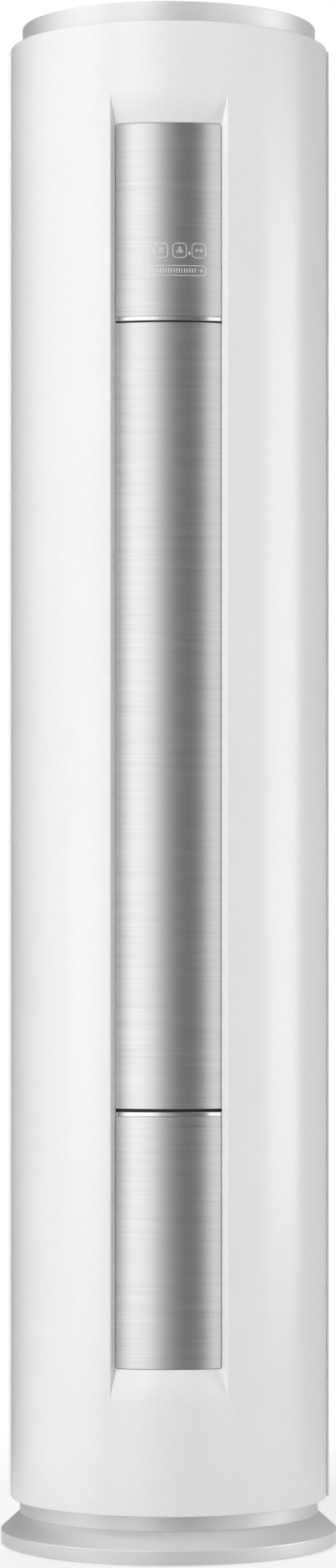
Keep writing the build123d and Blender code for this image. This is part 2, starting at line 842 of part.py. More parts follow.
# ---- Three stepper motors: for the door, the vanes and the blades ----
offset_x = stepper_offset * cos(radians(door_motor_turn))
offset_y = stepper_offset * sin(radians(door_motor_turn))
driven_height = blade_heights[driven_blade - 1]
with BuildPart() as stepper_motors:
    with BuildSketch(Plane.XY.offset(door_motor_bottom)):
        with Locations((pinion_x + offset_x, pinion_y + offset_y)):
            Circle(stepper_radius)
    extrude(amount=stepper_height)
    with BuildSketch(Plane.XY.offset(door_motor_top)):
        with Locations((pinion_x, pinion_y)):
            Circle(drive_pin_radius + pin_clearance)
    extrude(amount=-drive_pin_reach - 1.0, mode=Mode.SUBTRACT)
    with BuildSketch(Plane.XY.offset(frame_top)):
        with Locations((vane_places[1], vane_axis_y + stepper_offset)):
            Circle(stepper_radius)
        with Locations((vane_places[1], vane_axis_y)):
            Circle(vane_pin_radius + pin_clearance, mode=Mode.SUBTRACT)
    extrude(amount=stepper_height)
    with BuildSketch(Plane.YZ.offset(frame_half_width)):
        with Locations((blade_axis_y + stepper_offset, driven_height)):
            Circle(stepper_radius)
        with Locations((blade_axis_y, driven_height)):
            Circle(drive_pin_radius + pin_clearance, mode=Mode.SUBTRACT)
    extrude(amount=stepper_height)
save(stepper_motors, "stepper_motors")

# ---- Level blades, each on its own two pins, with a crank pin for the link bar ----
notch_inner_x = -blade_half_length + blade_notch_width
for number, height in enumerate(blade_heights, start=1):
    pin_end = frame_half_width - 0.5
    if number == driven_blade:
        pin_end = frame_half_width + drive_pin_reach
    with BuildPart() as blade:
        with BuildSketch(Plane.YZ.offset(-blade_half_length)):
            with Locations((blade_axis_y, height)):
                SlotOverall(blade_chord, blade_thickness)
        extrude(amount=2 * blade_half_length)
        with BuildSketch(Plane.XY.offset(height)):
            with Locations((-blade_half_length, blade_axis_y + blade_chord / 2)):
                Rectangle(2 * blade_notch_width, 2 * blade_notch_depth)
        extrude(amount=blade_thickness, both=True, mode=Mode.SUBTRACT)
        with BuildSketch(Plane.YZ.offset(0.5 - frame_half_width)):
            with Locations((blade_axis_y, height)):
                Circle(drive_pin_radius)
        extrude(amount=pin_end + frame_half_width - 0.5)
        with BuildSketch(Plane.YZ.offset(0.5 - blade_half_length)):
            with Locations((blade_axis_y + blade_crank, height)):
                Circle(link_pin_radius)
        extrude(amount=blade_notch_width + 1.0)
    save(blade, f"blade_{number}")

link_x = notch_inner_x - blade_notch_width / 2 - link_bar_thickness / 2
with BuildPart() as blade_link_bar:
    with BuildSketch(Plane.YZ.offset(link_x)):
        with Locations((blade_axis_y + blade_crank, (blade_heights[0] + blade_heights[-1]) / 2)):
            SlotCenterToCenter(blade_heights[-1] - blade_heights[0], link_bar_width, rotation=90)
        for height in blade_heights:
            with Locations((blade_axis_y + blade_crank, height)):
                Circle(link_pin_radius + pin_clearance, mode=Mode.SUBTRACT)
    extrude(amount=link_bar_thickness)
save(blade_link_bar, "blade_link_bar")

# ---- Upright vanes behind the blades ----
vane_bottom = frame_bottom + frame_wall + vane_end_gap
vane_top = frame_top - frame_wall - vane_end_gap
vane_link_height = vane_top - vane_link_drop
vane_pin_tops = (frame_top - 0.5, frame_top + drive_pin_reach)
for name, place, pin_top in zip(("vane_left", "vane_right"), vane_places, vane_pin_tops):
    with BuildPart() as vane:
        with BuildSketch(Plane.XY.offset(vane_bottom)):
            with Locations((place, vane_axis_y)):
                SlotOverall(vane_chord, vane_thickness, rotation=90)
        extrude(amount=vane_top - vane_bottom)
        with BuildSketch(Plane.XY.offset(vane_link_height - vane_notch_height / 2)):
            with Locations((place, vane_axis_y + vane_chord / 2)):
                Rectangle(2 * vane_thickness, 2 * vane_notch_depth)
        extrude(amount=vane_notch_height, mode=Mode.SUBTRACT)
        with BuildSketch(Plane.XY.offset(frame_bottom + 0.5)):
            with Locations((place, vane_axis_y)):
                Circle(vane_pin_radius)
        extrude(amount=pin_top - frame_bottom - 0.5)
        with BuildSketch(Plane.XY.offset(vane_link_height - vane_notch_height / 2 - 1.0)):
            with Locations((place, vane_axis_y + vane_crank)):
                Circle(link_pin_radius)
        extrude(amount=vane_notch_height - 1.0)
    save(vane, name)

with BuildPart() as vane_link_bar:
    with BuildSketch(Plane.XY.offset(vane_link_height - link_bar_thickness / 2)):
        with Locations((0, vane_axis_y + vane_crank)):
            SlotCenterToCenter(vane_spacing, link_bar_width)
            with GridLocations(vane_spacing, 1, 2, 1):
                Circle(link_pin_radius + pin_clearance, mode=Mode.SUBTRACT)
    extrude(amount=link_bar_thickness)
save(vane_link_bar, "vane_link_bar")

# ---- Cross-flow fan: long blades between rings ----
section_height = (fan_top - fan_bottom - fan_disc_thickness) / fan_sections
ring_planes = [Plane.XY.offset(fan_bottom + section_height * i) for i in range(fan_sections + 1)]
blade_ring_radius = fan_radius - 0.5 - fan_blade_depth / 2
with BuildPart() as cross_flow_fan:
    with BuildSketch(Plane.XY.offset(fan_bottom)):
        with Locations((0, fan_y)):
            with PolarLocations(blade_ring_radius, fan_blade_count):
                Rectangle(fan_blade_depth, fan_blade_thickness, rotation=fan_blade_lean)
    extrude(amount=fan_top - fan_bottom)
    with BuildSketch(*ring_planes):
        with Locations((0, fan_y)):
            Circle(fan_radius)
            Circle(fan_radius - fan_blade_depth - 2.0, mode=Mode.SUBTRACT)
    extrude(amount=fan_disc_thickness)
    with BuildSketch(ring_planes[0], ring_planes[-1]):
        with Locations((0, fan_y)):
            Circle(fan_radius)
    extrude(amount=fan_disc_thickness)
    with BuildSketch(
        Plane.XY.offset(fan_bottom),
        Plane.XY.offset(fan_top - fan_hub_height),
    ):
        with Locations((0, fan_y)):
            Circle(fan_hub_radius)
    extrude(amount=fan_hub_height)
    with BuildSketch(Plane.XY.offset(fan_bottom)):
        with Locations((0, fan_y)):
            Circle(shaft_radius)
    extrude(amount=fan_top - fan_bottom, mode=Mode.SUBTRACT)
save(cross_flow_fan, "cross_flow_fan")

# ---- Fan shafts, the lower bearing, the motor and its bracket ----
with BuildPart() as fan_end_shaft:
    with BuildSketch(Plane.XY.offset(bearing_bottom + shaft_end_gap)):
        with Locations((0, fan_y)):
            Circle(shaft_radius)
    extrude(amount=fan_bottom + fan_hub_height - bearing_bottom - shaft_end_gap)
save(fan_end_shaft, "fan_end_shaft")

with BuildPart() as lower_bearing:
    with BuildSketch(Plane.XY.offset(bearing_bottom)):
        with Locations((0, fan_y)):
            Circle(bearing_radius)
            Circle(shaft_radius + pin_clearance, mode=Mode.SUBTRACT)
    extrude(amount=bearing_height)
save(lower_bearing, "lower_bearing")

deck_face = upper_deck_bottom + deck_thickness
with BuildPart() as motor_shaft:
    with BuildSketch(Plane.XY.offset(fan_top - fan_hub_height)):
        with Locations((0, fan_y)):
            Circle(shaft_radius)
    extrude(amount=deck_face + motor_height / 2 - fan_top + fan_hub_height)
save(motor_shaft, "motor_shaft")

with BuildPart() as fan_motor:
    with BuildSketch(Plane.XY.offset(deck_face)):
        with Locations((0, fan_y)):
            Circle(motor_radius)
    extrude(amount=motor_height)
    fillet(fan_motor.edges().group_by(Axis.Z)[-1], motor_edge_round)
    with BuildSketch(Plane.XY.offset(deck_face)):
        with Locations((0, fan_y)):
            Circle(shaft_radius + pin_clearance)
    extrude(amount=motor_height / 2 + 2.0, mode=Mode.SUBTRACT)
save(fan_motor, "fan_motor")

bracket_inner = motor_radius + deck_fit
with BuildPart() as motor_bracket:
    with BuildSketch(Plane.XY.offset(deck_face)):
        with Locations((0, fan_y)):
            Circle(bracket_inner + motor_bracket_wall)
            Circle(bracket_inner, mode=Mode.SUBTRACT)
    extrude(amount=motor_bracket_height)
    with BuildSketch(Plane.XY.offset(deck_face)):
        with Locations((0, fan_y)):
            Circle(bracket_inner + motor_bracket_wall + motor_bracket_flange)
            Circle(bracket_inner, mode=Mode.SUBTRACT)
    extrude(amount=motor_bracket_wall)
save(motor_bracket, "motor_bracket")


def around_fan(radius, angle):
    """A plan point at a radius and angle about the fan's axis."""
    x, y = plan_point(radius, angle)
    return (x, y + fan_y)


# ---- Air guides: the scroll at the left, the tongue at the right, each with a baffle ----
guide_height = upper_deck_bottom - lower_deck_top
baffle_end_x = coil_inner_radius - baffle_inset
with BuildPart() as fan_scroll:
    scroll_lip = around_fan(fan_radius + scroll_gap + guide_wall / 2, scroll_lip_angle)
    scroll_side = around_fan(fan_radius + scroll_growth, scroll_side_angle)
    scroll_knee = (-bar_middle - guide_flare, frame_back + guide_run)
    with BuildSketch(Plane.XY.offset(lower_deck_top)):
        with BuildLine():
            ThreePointArc(scroll_lip, scroll_side, scroll_knee)
            Line(scroll_knee, (-bar_middle, frame_back))
            Line(scroll_knee, (-baffle_end_x, baffle_end_y))
        trace(line_width=guide_wall)
        with Locations((0, frame_back - fan_radius)):
            Rectangle(4 * fan_radius, 2 * fan_radius, mode=Mode.SUBTRACT)
    extrude(amount=guide_height)
save(fan_scroll, "fan_scroll")

with BuildPart() as fan_tongue:
    nose = around_fan(fan_radius + tongue_gap + tongue_nose, tongue_angle)
    tongue_knee = (bar_middle + guide_flare, frame_back + guide_run)
    with BuildSketch(Plane.XY.offset(lower_deck_top)):
        with BuildLine():
            Line(nose, tongue_knee)
            Line(tongue_knee, (bar_middle, frame_back))
            Line(tongue_knee, (baffle_end_x, baffle_end_y))
        trace(line_width=guide_wall)
        with Locations(nose):
            Circle(tongue_nose)
        with Locations((0, frame_back - fan_radius)):
            Rectangle(4 * fan_radius, 2 * fan_radius, mode=Mode.SUBTRACT)
    extrude(amount=guide_height)
save(fan_tongue, "fan_tongue")

# ---- Drain pan under the coil, its spout and hose ----
def pan_outline(inner, outer, reach):
    """The half ring under the coil, with straight ends that run forward."""
    arc_band(inner, outer, 90, 90)
    with Locations((0, -reach / 2)):
        with GridLocations(inner + outer, 1, 2, 1):
            Rectangle(outer - inner, reach)


pan_inner = coil_inner_radius - pan_clearance
pan_outer = coil_outer_radius + pan_clearance
with BuildPart() as drain_pan:
    with BuildSketch(Plane.XY.offset(lower_deck_top)):
        pan_outline(pan_inner - pan_wall, pan_outer + pan_wall, pan_reach)
    extrude(amount=pan_height)
    with BuildSketch(Plane.XY.offset(pan_floor)):
        pan_outline(pan_inner, pan_outer, pan_reach - pan_wall)
    extrude(amount=pan_height, mode=Mode.SUBTRACT)
    with BuildSketch(Plane.XY.offset(pan_floor - spout_length)):
        with Locations((spout_x, spout_y)):
            Circle(spout_radius)
    extrude(amount=spout_length)
    with BuildSketch(Plane.XY.offset(pan_floor - spout_length)):
        with Locations((spout_x, spout_y)):
            Circle(spout_bore)
    extrude(amount=spout_length, mode=Mode.SUBTRACT)
save(drain_pan, "drain_pan")

hose_top = lower_deck_top - deck_thickness - 1.0
with BuildPart() as drain_hose:
    with BuildLine() as hose_path:
        FilletPolyline(
            (spout_x, spout_y, hose_top),
            (spout_x, spout_y, hose_outlet_height),
            (spout_x, hose_outlet_y, hose_outlet_height),
            radius=hose_bend,
        )
    with BuildSketch(Plane(origin=(spout_x, spout_y, hose_top), z_dir=(0, 0, -1))):
        Circle(hose_radius)
        Circle(spout_radius + pin_clearance, mode=Mode.SUBTRACT)
    sweep(path=hose_path.wires()[0])
save(drain_hose, "drain_hose")

# ---- Cooling coil: fin block, tube, end plates ----
row_heights = [first_row_height + coil_row_pitch * k for k in range(coil_row_count)]
with BuildPart() as evaporator_fins:
    with BuildSketch(Plane.XY.offset(pan_floor)):
        arc_band(coil_inner_radius, coil_outer_radius, 90, 90)
        with PolarLocations(
            coil_outer_radius - fin_slot_depth / 2,
            fin_slot_count,
            start_angle=1.0,
            angular_range=178.0,
            endpoint=True,
        ):
            Rectangle(fin_slot_depth + 1.0, fin_slot_width, mode=Mode.SUBTRACT)
    extrude(amount=coil_height)
    with BuildSketch(radial_plane(0)):
        with Locations((coil_middle_radius, (first_row_height + last_row_height) / 2)):
            with GridLocations(1, coil_row_pitch, 1, coil_row_count):
                Circle(tube_radius + pin_clearance)
    revolve(axis=Axis.Z, revolution_arc=180, mode=Mode.SUBTRACT)
save(evaporator_fins, "evaporator_fins")

with BuildPart() as evaporator_tubes:
    with BuildLine() as tube_path:
        r = coil_middle_radius
        Line((r, -pipe_stub, first_row_height), (r, 0, first_row_height))
        for k, z in enumerate(row_heights):
            side = 1 if k % 2 == 0 else -1
            ThreePointArc((side * r, 0, z), (0, r, z), (-side * r, 0, z))
            if k < coil_row_count - 1:
                above = z + coil_row_pitch
                bend = coil_row_pitch / 2
                Line((-side * r, 0, z), (-side * r, -pipe_stub, z))
                ThreePointArc(
                    (-side * r, -pipe_stub, z),
                    (-side * r, -pipe_stub - bend, z + bend),
                    (-side * r, -pipe_stub, above),
                )
                Line((-side * r, -pipe_stub, above), (-side * r, 0, above))
        Line((r, 0, last_row_height), (r, -pipe_stub, last_row_height))
    with BuildSketch(Plane(origin=(r, -pipe_stub, first_row_height), z_dir=(0, 1, 0))):
        Circle(tube_radius)
    sweep(path=tube_path.wires()[0])
save(evaporator_tubes, "evaporator_tubes")

with BuildPart() as coil_end_plates:
    with BuildSketch(Plane.XZ):
        plate_width = coil_outer_radius - coil_inner_radius + 2 * coil_plate_margin
        with Locations((0, pan_floor + coil_height / 2)):
            with GridLocations(2 * coil_middle_radius, 1, 2, 1):
                Rectangle(plate_width, coil_height)
        with Locations((0, (first_row_height + last_row_height) / 2)):
            with GridLocations(2 * coil_middle_radius, coil_row_pitch, 2, coil_row_count):
                Circle(tube_radius + pin_clearance, mode=Mode.SUBTRACT)
    extrude(amount=coil_plate_thickness)
save(coil_end_plates, "coil_end_plates")

# ---- Refrigerant pipes and their unions ----
with BuildPart() as gas_pipe:
    with BuildLine() as gas_path:
        FilletPolyline(
            (coil_middle_radius, -pipe_stub, last_row_height),
            (coil_middle_radius, gas_turn_y, last_row_height),
            (gas_pipe_x, pipe_drop_y, last_row_height),
            (gas_pipe_x, pipe_drop_y, gas_exit_height),
            (gas_exit_x, pipe_turn_y, gas_exit_height),
            (gas_exit_x, pipe_end_y, gas_exit_height),
            radius=[gas_top_bend, pipe_bend, pipe_bend, pipe_sweep_bend],
        )
    with BuildSketch(
        Plane(origin=(coil_middle_radius, -pipe_stub, last_row_height), z_dir=(0, -1, 0))
    ):
        Circle(gas_pipe_radius)
    sweep(path=gas_path.wires()[0])
save(gas_pipe, "gas_pipe")

with BuildPart() as liquid_pipe:
    with BuildLine() as liquid_path:
        FilletPolyline(
            (coil_middle_radius, -pipe_stub, first_row_height),
            (coil_middle_radius, pipe_drop_y, first_row_height),
            (coil_middle_radius, pipe_drop_y, liquid_exit_height),
            (liquid_exit_x, pipe_turn_y, liquid_exit_height),
            (liquid_exit_x, pipe_end_y, liquid_exit_height),
            radius=[pipe_bend, pipe_bend, pipe_sweep_bend],
        )
    with BuildSketch(
        Plane(origin=(coil_middle_radius, -pipe_stub, first_row_height), z_dir=(0, -1, 0))
    ):
        Circle(liquid_pipe_radius)
    sweep(path=liquid_path.wires()[0])
save(liquid_pipe, "liquid_pipe")

with BuildPart() as pipe_unions:
    with BuildSketch(Plane.XZ.offset(-pipe_end_y)):
        with Locations((gas_exit_x, gas_exit_height)):
            RegularPolygon(gas_union_radius, 6)
            Circle(gas_pipe_radius + pin_clearance, mode=Mode.SUBTRACT)
        with Locations((liquid_exit_x, liquid_exit_height)):
            RegularPolygon(liquid_union_radius, 6)
            Circle(liquid_pipe_radius + pin_clearance, mode=Mode.SUBTRACT)
    extrude(amount=union_length)
save(pipe_unions, "pipe_unions")


def flange_plane_y(x, reach):
    """The Y of a flange's back face that just clears the rear shell over its own reach."""
    nearest = max(abs(x) - reach, 0)
    return sqrt(rear_radius**2 - nearest**2) + shell_fit


# ---- Pipe sleeve and cord gland: bored bushes along Y, set in the rear shell ----
sleeve_radius = sleeve_bore + sleeve_wall
sleeve_end = flange_plane_y(0, sleeve_radius + sleeve_flange) + sleeve_flange_thickness
with BuildPart() as pipe_sleeve:
    with BuildSketch(Plane.XZ.offset(-sleeve_end)):
        with Locations((0, pipe_exit_height)):
            Circle(sleeve_radius)
    extrude(amount=sleeve_length)
    with BuildSketch(Plane.XZ.offset(-sleeve_end)):
        with Locations((0, pipe_exit_height)):
            Circle(sleeve_radius + sleeve_flange)
    extrude(amount=sleeve_flange_thickness)
    with BuildSketch(Plane.XZ.offset(-sleeve_end)):
        with Locations((0, pipe_exit_height)):
            Circle(sleeve_bore)
    extrude(amount=sleeve_length, mode=Mode.SUBTRACT)
save(pipe_sleeve, "pipe_sleeve")

gland_end = flange_plane_y(gland_x, gland_radius + gland_flange) + sleeve_flange_thickness
with BuildPart() as cord_gland:
    with BuildSketch(Plane.XZ.offset(-gland_end)):
        with Locations((gland_x, gland_height)):
            Circle(gland_radius)
    extrude(amount=gland_length)
    with BuildSketch(Plane.XZ.offset(-gland_end)):
        with Locations((gland_x, gland_height)):
            Circle(gland_radius + gland_flange)
    extrude(amount=sleeve_flange_thickness)
    with BuildSketch(Plane.XZ.offset(-gland_end)):
        with Locations((gland_x, gland_height)):
            Circle(gland_bore)
    extrude(amount=gland_length, mode=Mode.SUBTRACT)
save(cord_gland, "cord_gland")

# ---- Intake grille: a slotted panel in the rear shell that pulls off ----
grille_panel_half = grille_half_angle - degrees(grille_gap / rear_radius)
grille_panel_bottom = grille_bottom + grille_gap
grille_panel_height = grille_top - grille_bottom - 2 * grille_gap
slot_field = 2 * grille_panel_half - 2 * degrees(grille_rib / rear_radius)
slot_pitch = (grille_panel_height - grille_rib) / grille_rows
slot_heights = [grille_panel_bottom + grille_rib / 2 + slot_pitch * (i + 0.5) for i in range(grille_rows)]
filter_bottom = grille_bottom + filter_margin
filter_outer = rear_inner_radius - shell_fit
filter_inner = filter_outer - filter_frame_thickness
guide_half_angle = filter_guide / 2
with BuildPart() as intake_grille:
    with BuildSketch(Plane.XY.offset(grille_panel_bottom)):
        arc_band(rear_inner_radius, rear_radius, 90, grille_panel_half)
    extrude(amount=grille_panel_height)
    with Locations(*[(0, 0, z) for z in slot_heights]):
        with PolarLocations(
            rear_radius,
            grille_columns,
            start_angle=90 - slot_field / 2,
            angular_range=slot_field,
            endpoint=True,
        ):
            Box(4 * rear_wall, grille_slot_width, slot_pitch - grille_rib, mode=Mode.SUBTRACT)
    with BuildSketch(Plane.XY.offset(grille_panel_bottom)):
        for side in (-1, 1):
            guide_middle = 90 + side * (filter_half_angle + filter_guide_gap + guide_half_angle)
            arc_band(filter_inner, rear_inner_radius + rear_wall / 2, guide_middle, guide_half_angle)
    extrude(amount=grille_panel_height)
    with BuildSketch(Plane.XY.offset(filter_bottom - shell_fit - rear_wall)):
        arc_band(filter_inner, rear_inner_radius + rear_wall / 2, 90, filter_half_angle)
    extrude(amount=rear_wall)
save(intake_grille, "intake_grille")

# ---- Air filter: a ribbed frame and a sheet of mesh ----
filter_height = grille_top - grille_bottom - 2 * filter_margin
window_field = 2 * filter_half_angle - 2 * degrees(filter_border / filter_outer)
window_step = window_field / filter_columns
window_half = window_step / 2 - degrees(filter_rib / 2 / filter_outer)
window_rise = (filter_height - 2 * filter_border) / filter_rows
window_planes = [
    Plane.XY.offset(filter_bottom + filter_border + window_rise * i + filter_rib / 2)
    for i in range(filter_rows)
]
with BuildPart() as filter_frame:
    with BuildSketch(Plane.XY.offset(filter_bottom)):
        arc_band(filter_inner, filter_outer, 90, filter_half_angle)
    extrude(amount=filter_height)
    with BuildSketch(*window_planes):
        for i in range(filter_columns):
            window_middle = 90 - window_field / 2 + window_step * (i + 0.5)
            arc_band(filter_inner - 1, filter_outer + 1, window_middle, window_half)
    extrude(amount=window_rise - filter_rib, mode=Mode.SUBTRACT)
save(filter_frame, "filter_frame")

with BuildPart() as filter_mesh:
    with BuildSketch(Plane.XY.offset(filter_bottom)):
        arc_band(filter_inner - filter_mesh_thickness, filter_inner, 90, filter_half_angle)
    extrude(amount=filter_height)
save(filter_mesh, "filter_mesh")

# ---- Electrical box under the lower deck, its cover, main board and terminal block ----
box_top = lower_deck_top - deck_thickness
box_bottom = box_top - box_height
box_middle_y = (box_front + box_back) / 2
box_depth = box_back - box_front
board_back = box_back - box_sheet - board_standoff
board_middle_z = (box_bottom + box_top) / 2
with BuildPart() as electrical_box:
    with BuildSketch(Plane.XY.offset(box_bottom)):
        with Locations((0, box_middle_y)):
            Rectangle(2 * box_half_width, box_depth)
    extrude(amount=box_height)
    with BuildSketch(Plane.XZ.offset(-box_back + box_sheet)):
        with Locations((0, board_middle_z)):
            Rectangle(2 * (box_half_width - box_sheet), box_height - 2 * box_sheet)
    extrude(amount=box_depth, mode=Mode.SUBTRACT)
    with BuildSketch(Plane.XZ.offset(-box_back)):
        with Locations((0, board_middle_z)):
            with GridLocations(box_half_width, box_height / 2, 2, 2):
                Circle(peg_radius)
    extrude(amount=box_sheet + board_standoff)
save(electrical_box, "electrical_box")

with BuildPart() as electrical_cover:
    with BuildSketch(Plane.XZ.offset(-box_front)):
        with Locations((0, board_middle_z)):
            Rectangle(2 * box_half_width, box_height)
    extrude(amount=box_sheet)
save(electrical_cover, "electrical_cover")

with BuildPart() as main_board:
    with BuildSketch(Plane.XZ.offset(-board_back)):
        with Locations((0, board_middle_z)):
            Rectangle(2 * (box_half_width - board_margin), box_height - 2 * board_margin)
    extrude(amount=board_thickness)
    with BuildSketch(Plane.XZ.offset(-board_back + board_thickness)):
        with Locations((-relay_pitch, board_middle_z + relay_pitch), (0, board_middle_z + relay_pitch)):
            Rectangle(relay_width, relay_width * 0.8)
        with Locations((relay_pitch / 2, board_middle_z)):
            Rectangle(1.6 * relay_width, relay_width)
    extrude(amount=relay_height)
    with BuildSketch(Plane.XZ.offset(-board_back + board_thickness)):
        with Locations((relay_pitch, board_middle_z + relay_pitch), (-relay_pitch, board_middle_z)):
            Circle(relay_width / 2.5)
    extrude(amount=capacitor_height)
save(main_board, "main_board")

with BuildPart() as terminal_block:
    with BuildSketch(Plane.XY.offset(box_bottom + box_sheet)):
        with Locations((0, box_middle_y - terminal_depth / 2)):
            Rectangle(terminal_length, terminal_depth)
    extrude(amount=terminal_height)
    with BuildSketch(Plane.XY.offset(box_bottom + box_sheet + terminal_height)):
        with Locations((0, box_middle_y - terminal_depth / 2)):
            with GridLocations(terminal_length / 5, 1, 5, 1):
                Circle(terminal_length / 16)
    extrude(amount=-terminal_height / 2, mode=Mode.SUBTRACT)
save(terminal_block, "terminal_block")
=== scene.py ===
"""Looks of a round floor-standing air conditioner: finishes, studio and the casing's finished pieces."""

import json
import math

import bmesh
import bpy
from mathutils import Matrix, Vector

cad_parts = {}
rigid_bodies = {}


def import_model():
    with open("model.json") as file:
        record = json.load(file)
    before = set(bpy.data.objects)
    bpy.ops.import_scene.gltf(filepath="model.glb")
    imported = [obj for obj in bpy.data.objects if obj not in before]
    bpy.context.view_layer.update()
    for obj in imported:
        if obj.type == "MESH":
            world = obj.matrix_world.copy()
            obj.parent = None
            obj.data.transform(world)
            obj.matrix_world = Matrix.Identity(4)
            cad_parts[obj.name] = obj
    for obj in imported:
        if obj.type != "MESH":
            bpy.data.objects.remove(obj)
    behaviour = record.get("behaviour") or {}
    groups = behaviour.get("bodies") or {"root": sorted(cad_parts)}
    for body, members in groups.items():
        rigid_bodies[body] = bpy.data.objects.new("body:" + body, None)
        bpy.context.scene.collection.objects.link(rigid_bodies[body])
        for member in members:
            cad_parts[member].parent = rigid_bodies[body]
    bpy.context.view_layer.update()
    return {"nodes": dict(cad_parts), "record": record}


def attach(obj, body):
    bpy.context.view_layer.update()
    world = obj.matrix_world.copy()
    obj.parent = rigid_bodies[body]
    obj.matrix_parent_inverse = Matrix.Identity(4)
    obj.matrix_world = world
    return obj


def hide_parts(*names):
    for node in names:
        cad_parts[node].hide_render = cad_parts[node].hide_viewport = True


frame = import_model()
nodes = frame["nodes"]
in_scene = bpy.context.scene.collection.objects

# lengths of the object are written in mm, and Blender's are metres
MM = 0.001


# ---------------------------------------------------------------- colours and nodes


def paint(code):
    """An sRGB hex colour as Blender's linear RGBA."""
    channels = [int(code[i : i + 2], 16) / 255 for i in (1, 3, 5)]
    linear = [c / 12.92 if c <= 0.04045 else ((c + 0.055) / 1.055) ** 2.4 for c in channels]
    return (*linear, 1.0)


def add_node(tree, kind, settings=None, inputs=None):
    """Adds a shader node, sets its properties, and sets or links its inputs."""
    made = tree.nodes.new("ShaderNode" + kind)
    for name, value in (settings or {}).items():
        setattr(made, name, value)
    for socket, value in (inputs or {}).items():
        if isinstance(value, bpy.types.NodeSocket):
            tree.links.new(value, made.inputs[socket])
        else:
            made.inputs[socket].default_value = value
    return made


def new_material(name):
    """An empty node material, its tree and its Object coordinates."""
    made = bpy.data.materials.new(name)
    made.use_nodes = True
    made.node_tree.nodes.clear()
    place = add_node(made.node_tree, "TexCoord").outputs["Object"]
    return made, made.node_tree, place


def finish_material(tree, inputs):
    """Closes a material with one Principled shader."""
    shader = add_node(tree, "BsdfPrincipled", inputs=inputs)
    add_node(tree, "OutputMaterial", inputs={"Surface": shader.outputs["BSDF"]})


def stops(ramp, marks):
    """Sets a colour ramp's stops from pairs of place and colour."""
    marker = ramp.color_ramp.elements
    while len(marker) > 1:
        marker.remove(marker[-1])
    marker[0].position, marker[0].color = marks[0]
    for position, colour in marks[1:]:
        marker.new(position).color = colour
    return ramp.outputs["Color"]


def wave_scale(apart_mm):
    """The scale that puts a wave texture's lines this far apart: at 1, they lie 2 pi / 20 m apart."""
    return 2 * math.pi / (20 * apart_mm * MM)


# ---------------------------------------------------------------- finishes

# a grained finish is six parts its own grain and four parts a slow drift, in swells some 140 mm across
DRIFT_SCALE = 7.0
GRAIN_PART = 0.6
DRIFT_PART = 0.4
# noise stays mostly between these values, which carry the ends of a finish's colour and roughness
NOISE_LOW = 0.3
NOISE_HIGH = 0.7


def grained(name, low, high, grain_mm, rough, depth_mm, metallic=0.0, rough_swing=0.05):
    """A finish whose colour, roughness and relief follow one grain of a real size."""
    made, tree, place = new_material(name)
    grain = add_node(tree, "TexNoise", inputs={"Vector": place, "Scale": 1 / (grain_mm * MM), "Detail": 3.0})
    drift = add_node(tree, "TexNoise", inputs={"Vector": place, "Scale": DRIFT_SCALE, "Detail": 2.0})
    slow = add_node(tree, "Math", {"operation": "MULTIPLY"}, {0: drift.outputs["Fac"], 1: DRIFT_PART})
    mix_parts = {0: grain.outputs["Fac"], 1: GRAIN_PART, 2: slow.outputs[0]}
    mix = add_node(tree, "Math", {"operation": "MULTIPLY_ADD"}, mix_parts)
    colour = add_node(tree, "ValToRGB", inputs={"Fac": mix.outputs[0]})
    stops(colour, [(NOISE_LOW, paint(low)), (NOISE_HIGH, paint(high))])
    swing = {"To Min": rough - rough_swing, "To Max": rough + rough_swing}
    rough_range = {"Value": mix.outputs[0], "From Min": NOISE_LOW, "From Max": NOISE_HIGH, **swing}
    rough_map = add_node(tree, "MapRange", inputs=rough_range)
    relief = add_node(tree, "Bump", inputs={"Distance": depth_mm * MM, "Height": grain.outputs["Fac"]})
    finish_material(
        tree,
        {
            "Base Color": colour.outputs["Color"],
            "Roughness": rough_map.outputs["Result"],
            "Metallic": metallic,
            "Normal": relief.outputs["Normal"],
        },
    )
    return made


# high-gloss white lacquer on moulded ABS: a faint orange peel a few millimetres across
gloss_white = grained("gloss_white_lacquered_abs", "#ECECEC", "#F1F1F1", 3.5, 0.24, 0.004, rough_swing=0.03)
# silver metallic lacquer on steel: a soft sheen of fine flake, drawn about 0.8 mm wide so that it shows
silver_lacquer = grained("silver_lacquered_steel", "#D0D0D0", "#DBDBDB", 0.8, 0.42, 0.01, metallic=0.45)
# the same lacquer on the neck and the lid, shinier and a little darker: the darkening is painted shade for
# the neck's recess under the shell's overhang
shaded_silver_lacquer = grained("silver_lacquered_steel_painted_shade", "#C8C8C8", "#D4D4D4", 0.8, 0.36, 0.01, metallic=0.6)
# black ABS moulded with a fine spark-eroded texture: a matt, faintly pebbled black
black_abs = grained("black_moulded_abs", "#0D0D0E", "#151516", 0.7, 0.55, 0.03)
# natural nylon, moulded: creamy white and a little waxy
nylon = grained("natural_nylon", "#D8D5CB", "#E2E0D8", 1.5, 0.42, 0.01)
# soft black rubber with a dull bloom
rubber = grained("black_rubber", "#0E0E0E", "#181818", 1.2, 0.8, 0.05)
# dark grey stove enamel on the motor's pressed case: half glossy, with a slight orange peel
motor_enamel = grained("grey_stove_enamel", "#4C5054", "#5C6064", 1.4, 0.36, 0.02)
# copper tube, drawn bright and dulled in patches
copper = grained("drawn_copper_tube", "#9C5A38", "#C07A52", 9.0, 0.34, 0.01, metallic=1.0, rough_swing=0.09)
# machined brass: bright yellow, slightly uneven
brass = grained("machined_brass", "#A88648", "#C4A262", 2.0, 0.3, 0.01, metallic=1.0)
# pale grey PVC hose, extruded: smooth and half matt
pale_pvc = grained("pale_grey_pvc", "#A8A8A6", "#B8B8B6", 2.5, 0.5, 0.02)
# mid grey ABS of the filter's frame, moulded: satin, with a fine texture
grey_abs = grained("grey_moulded_abs", "#474B4E", "#54585B", 0.7, 0.45, 0.03)
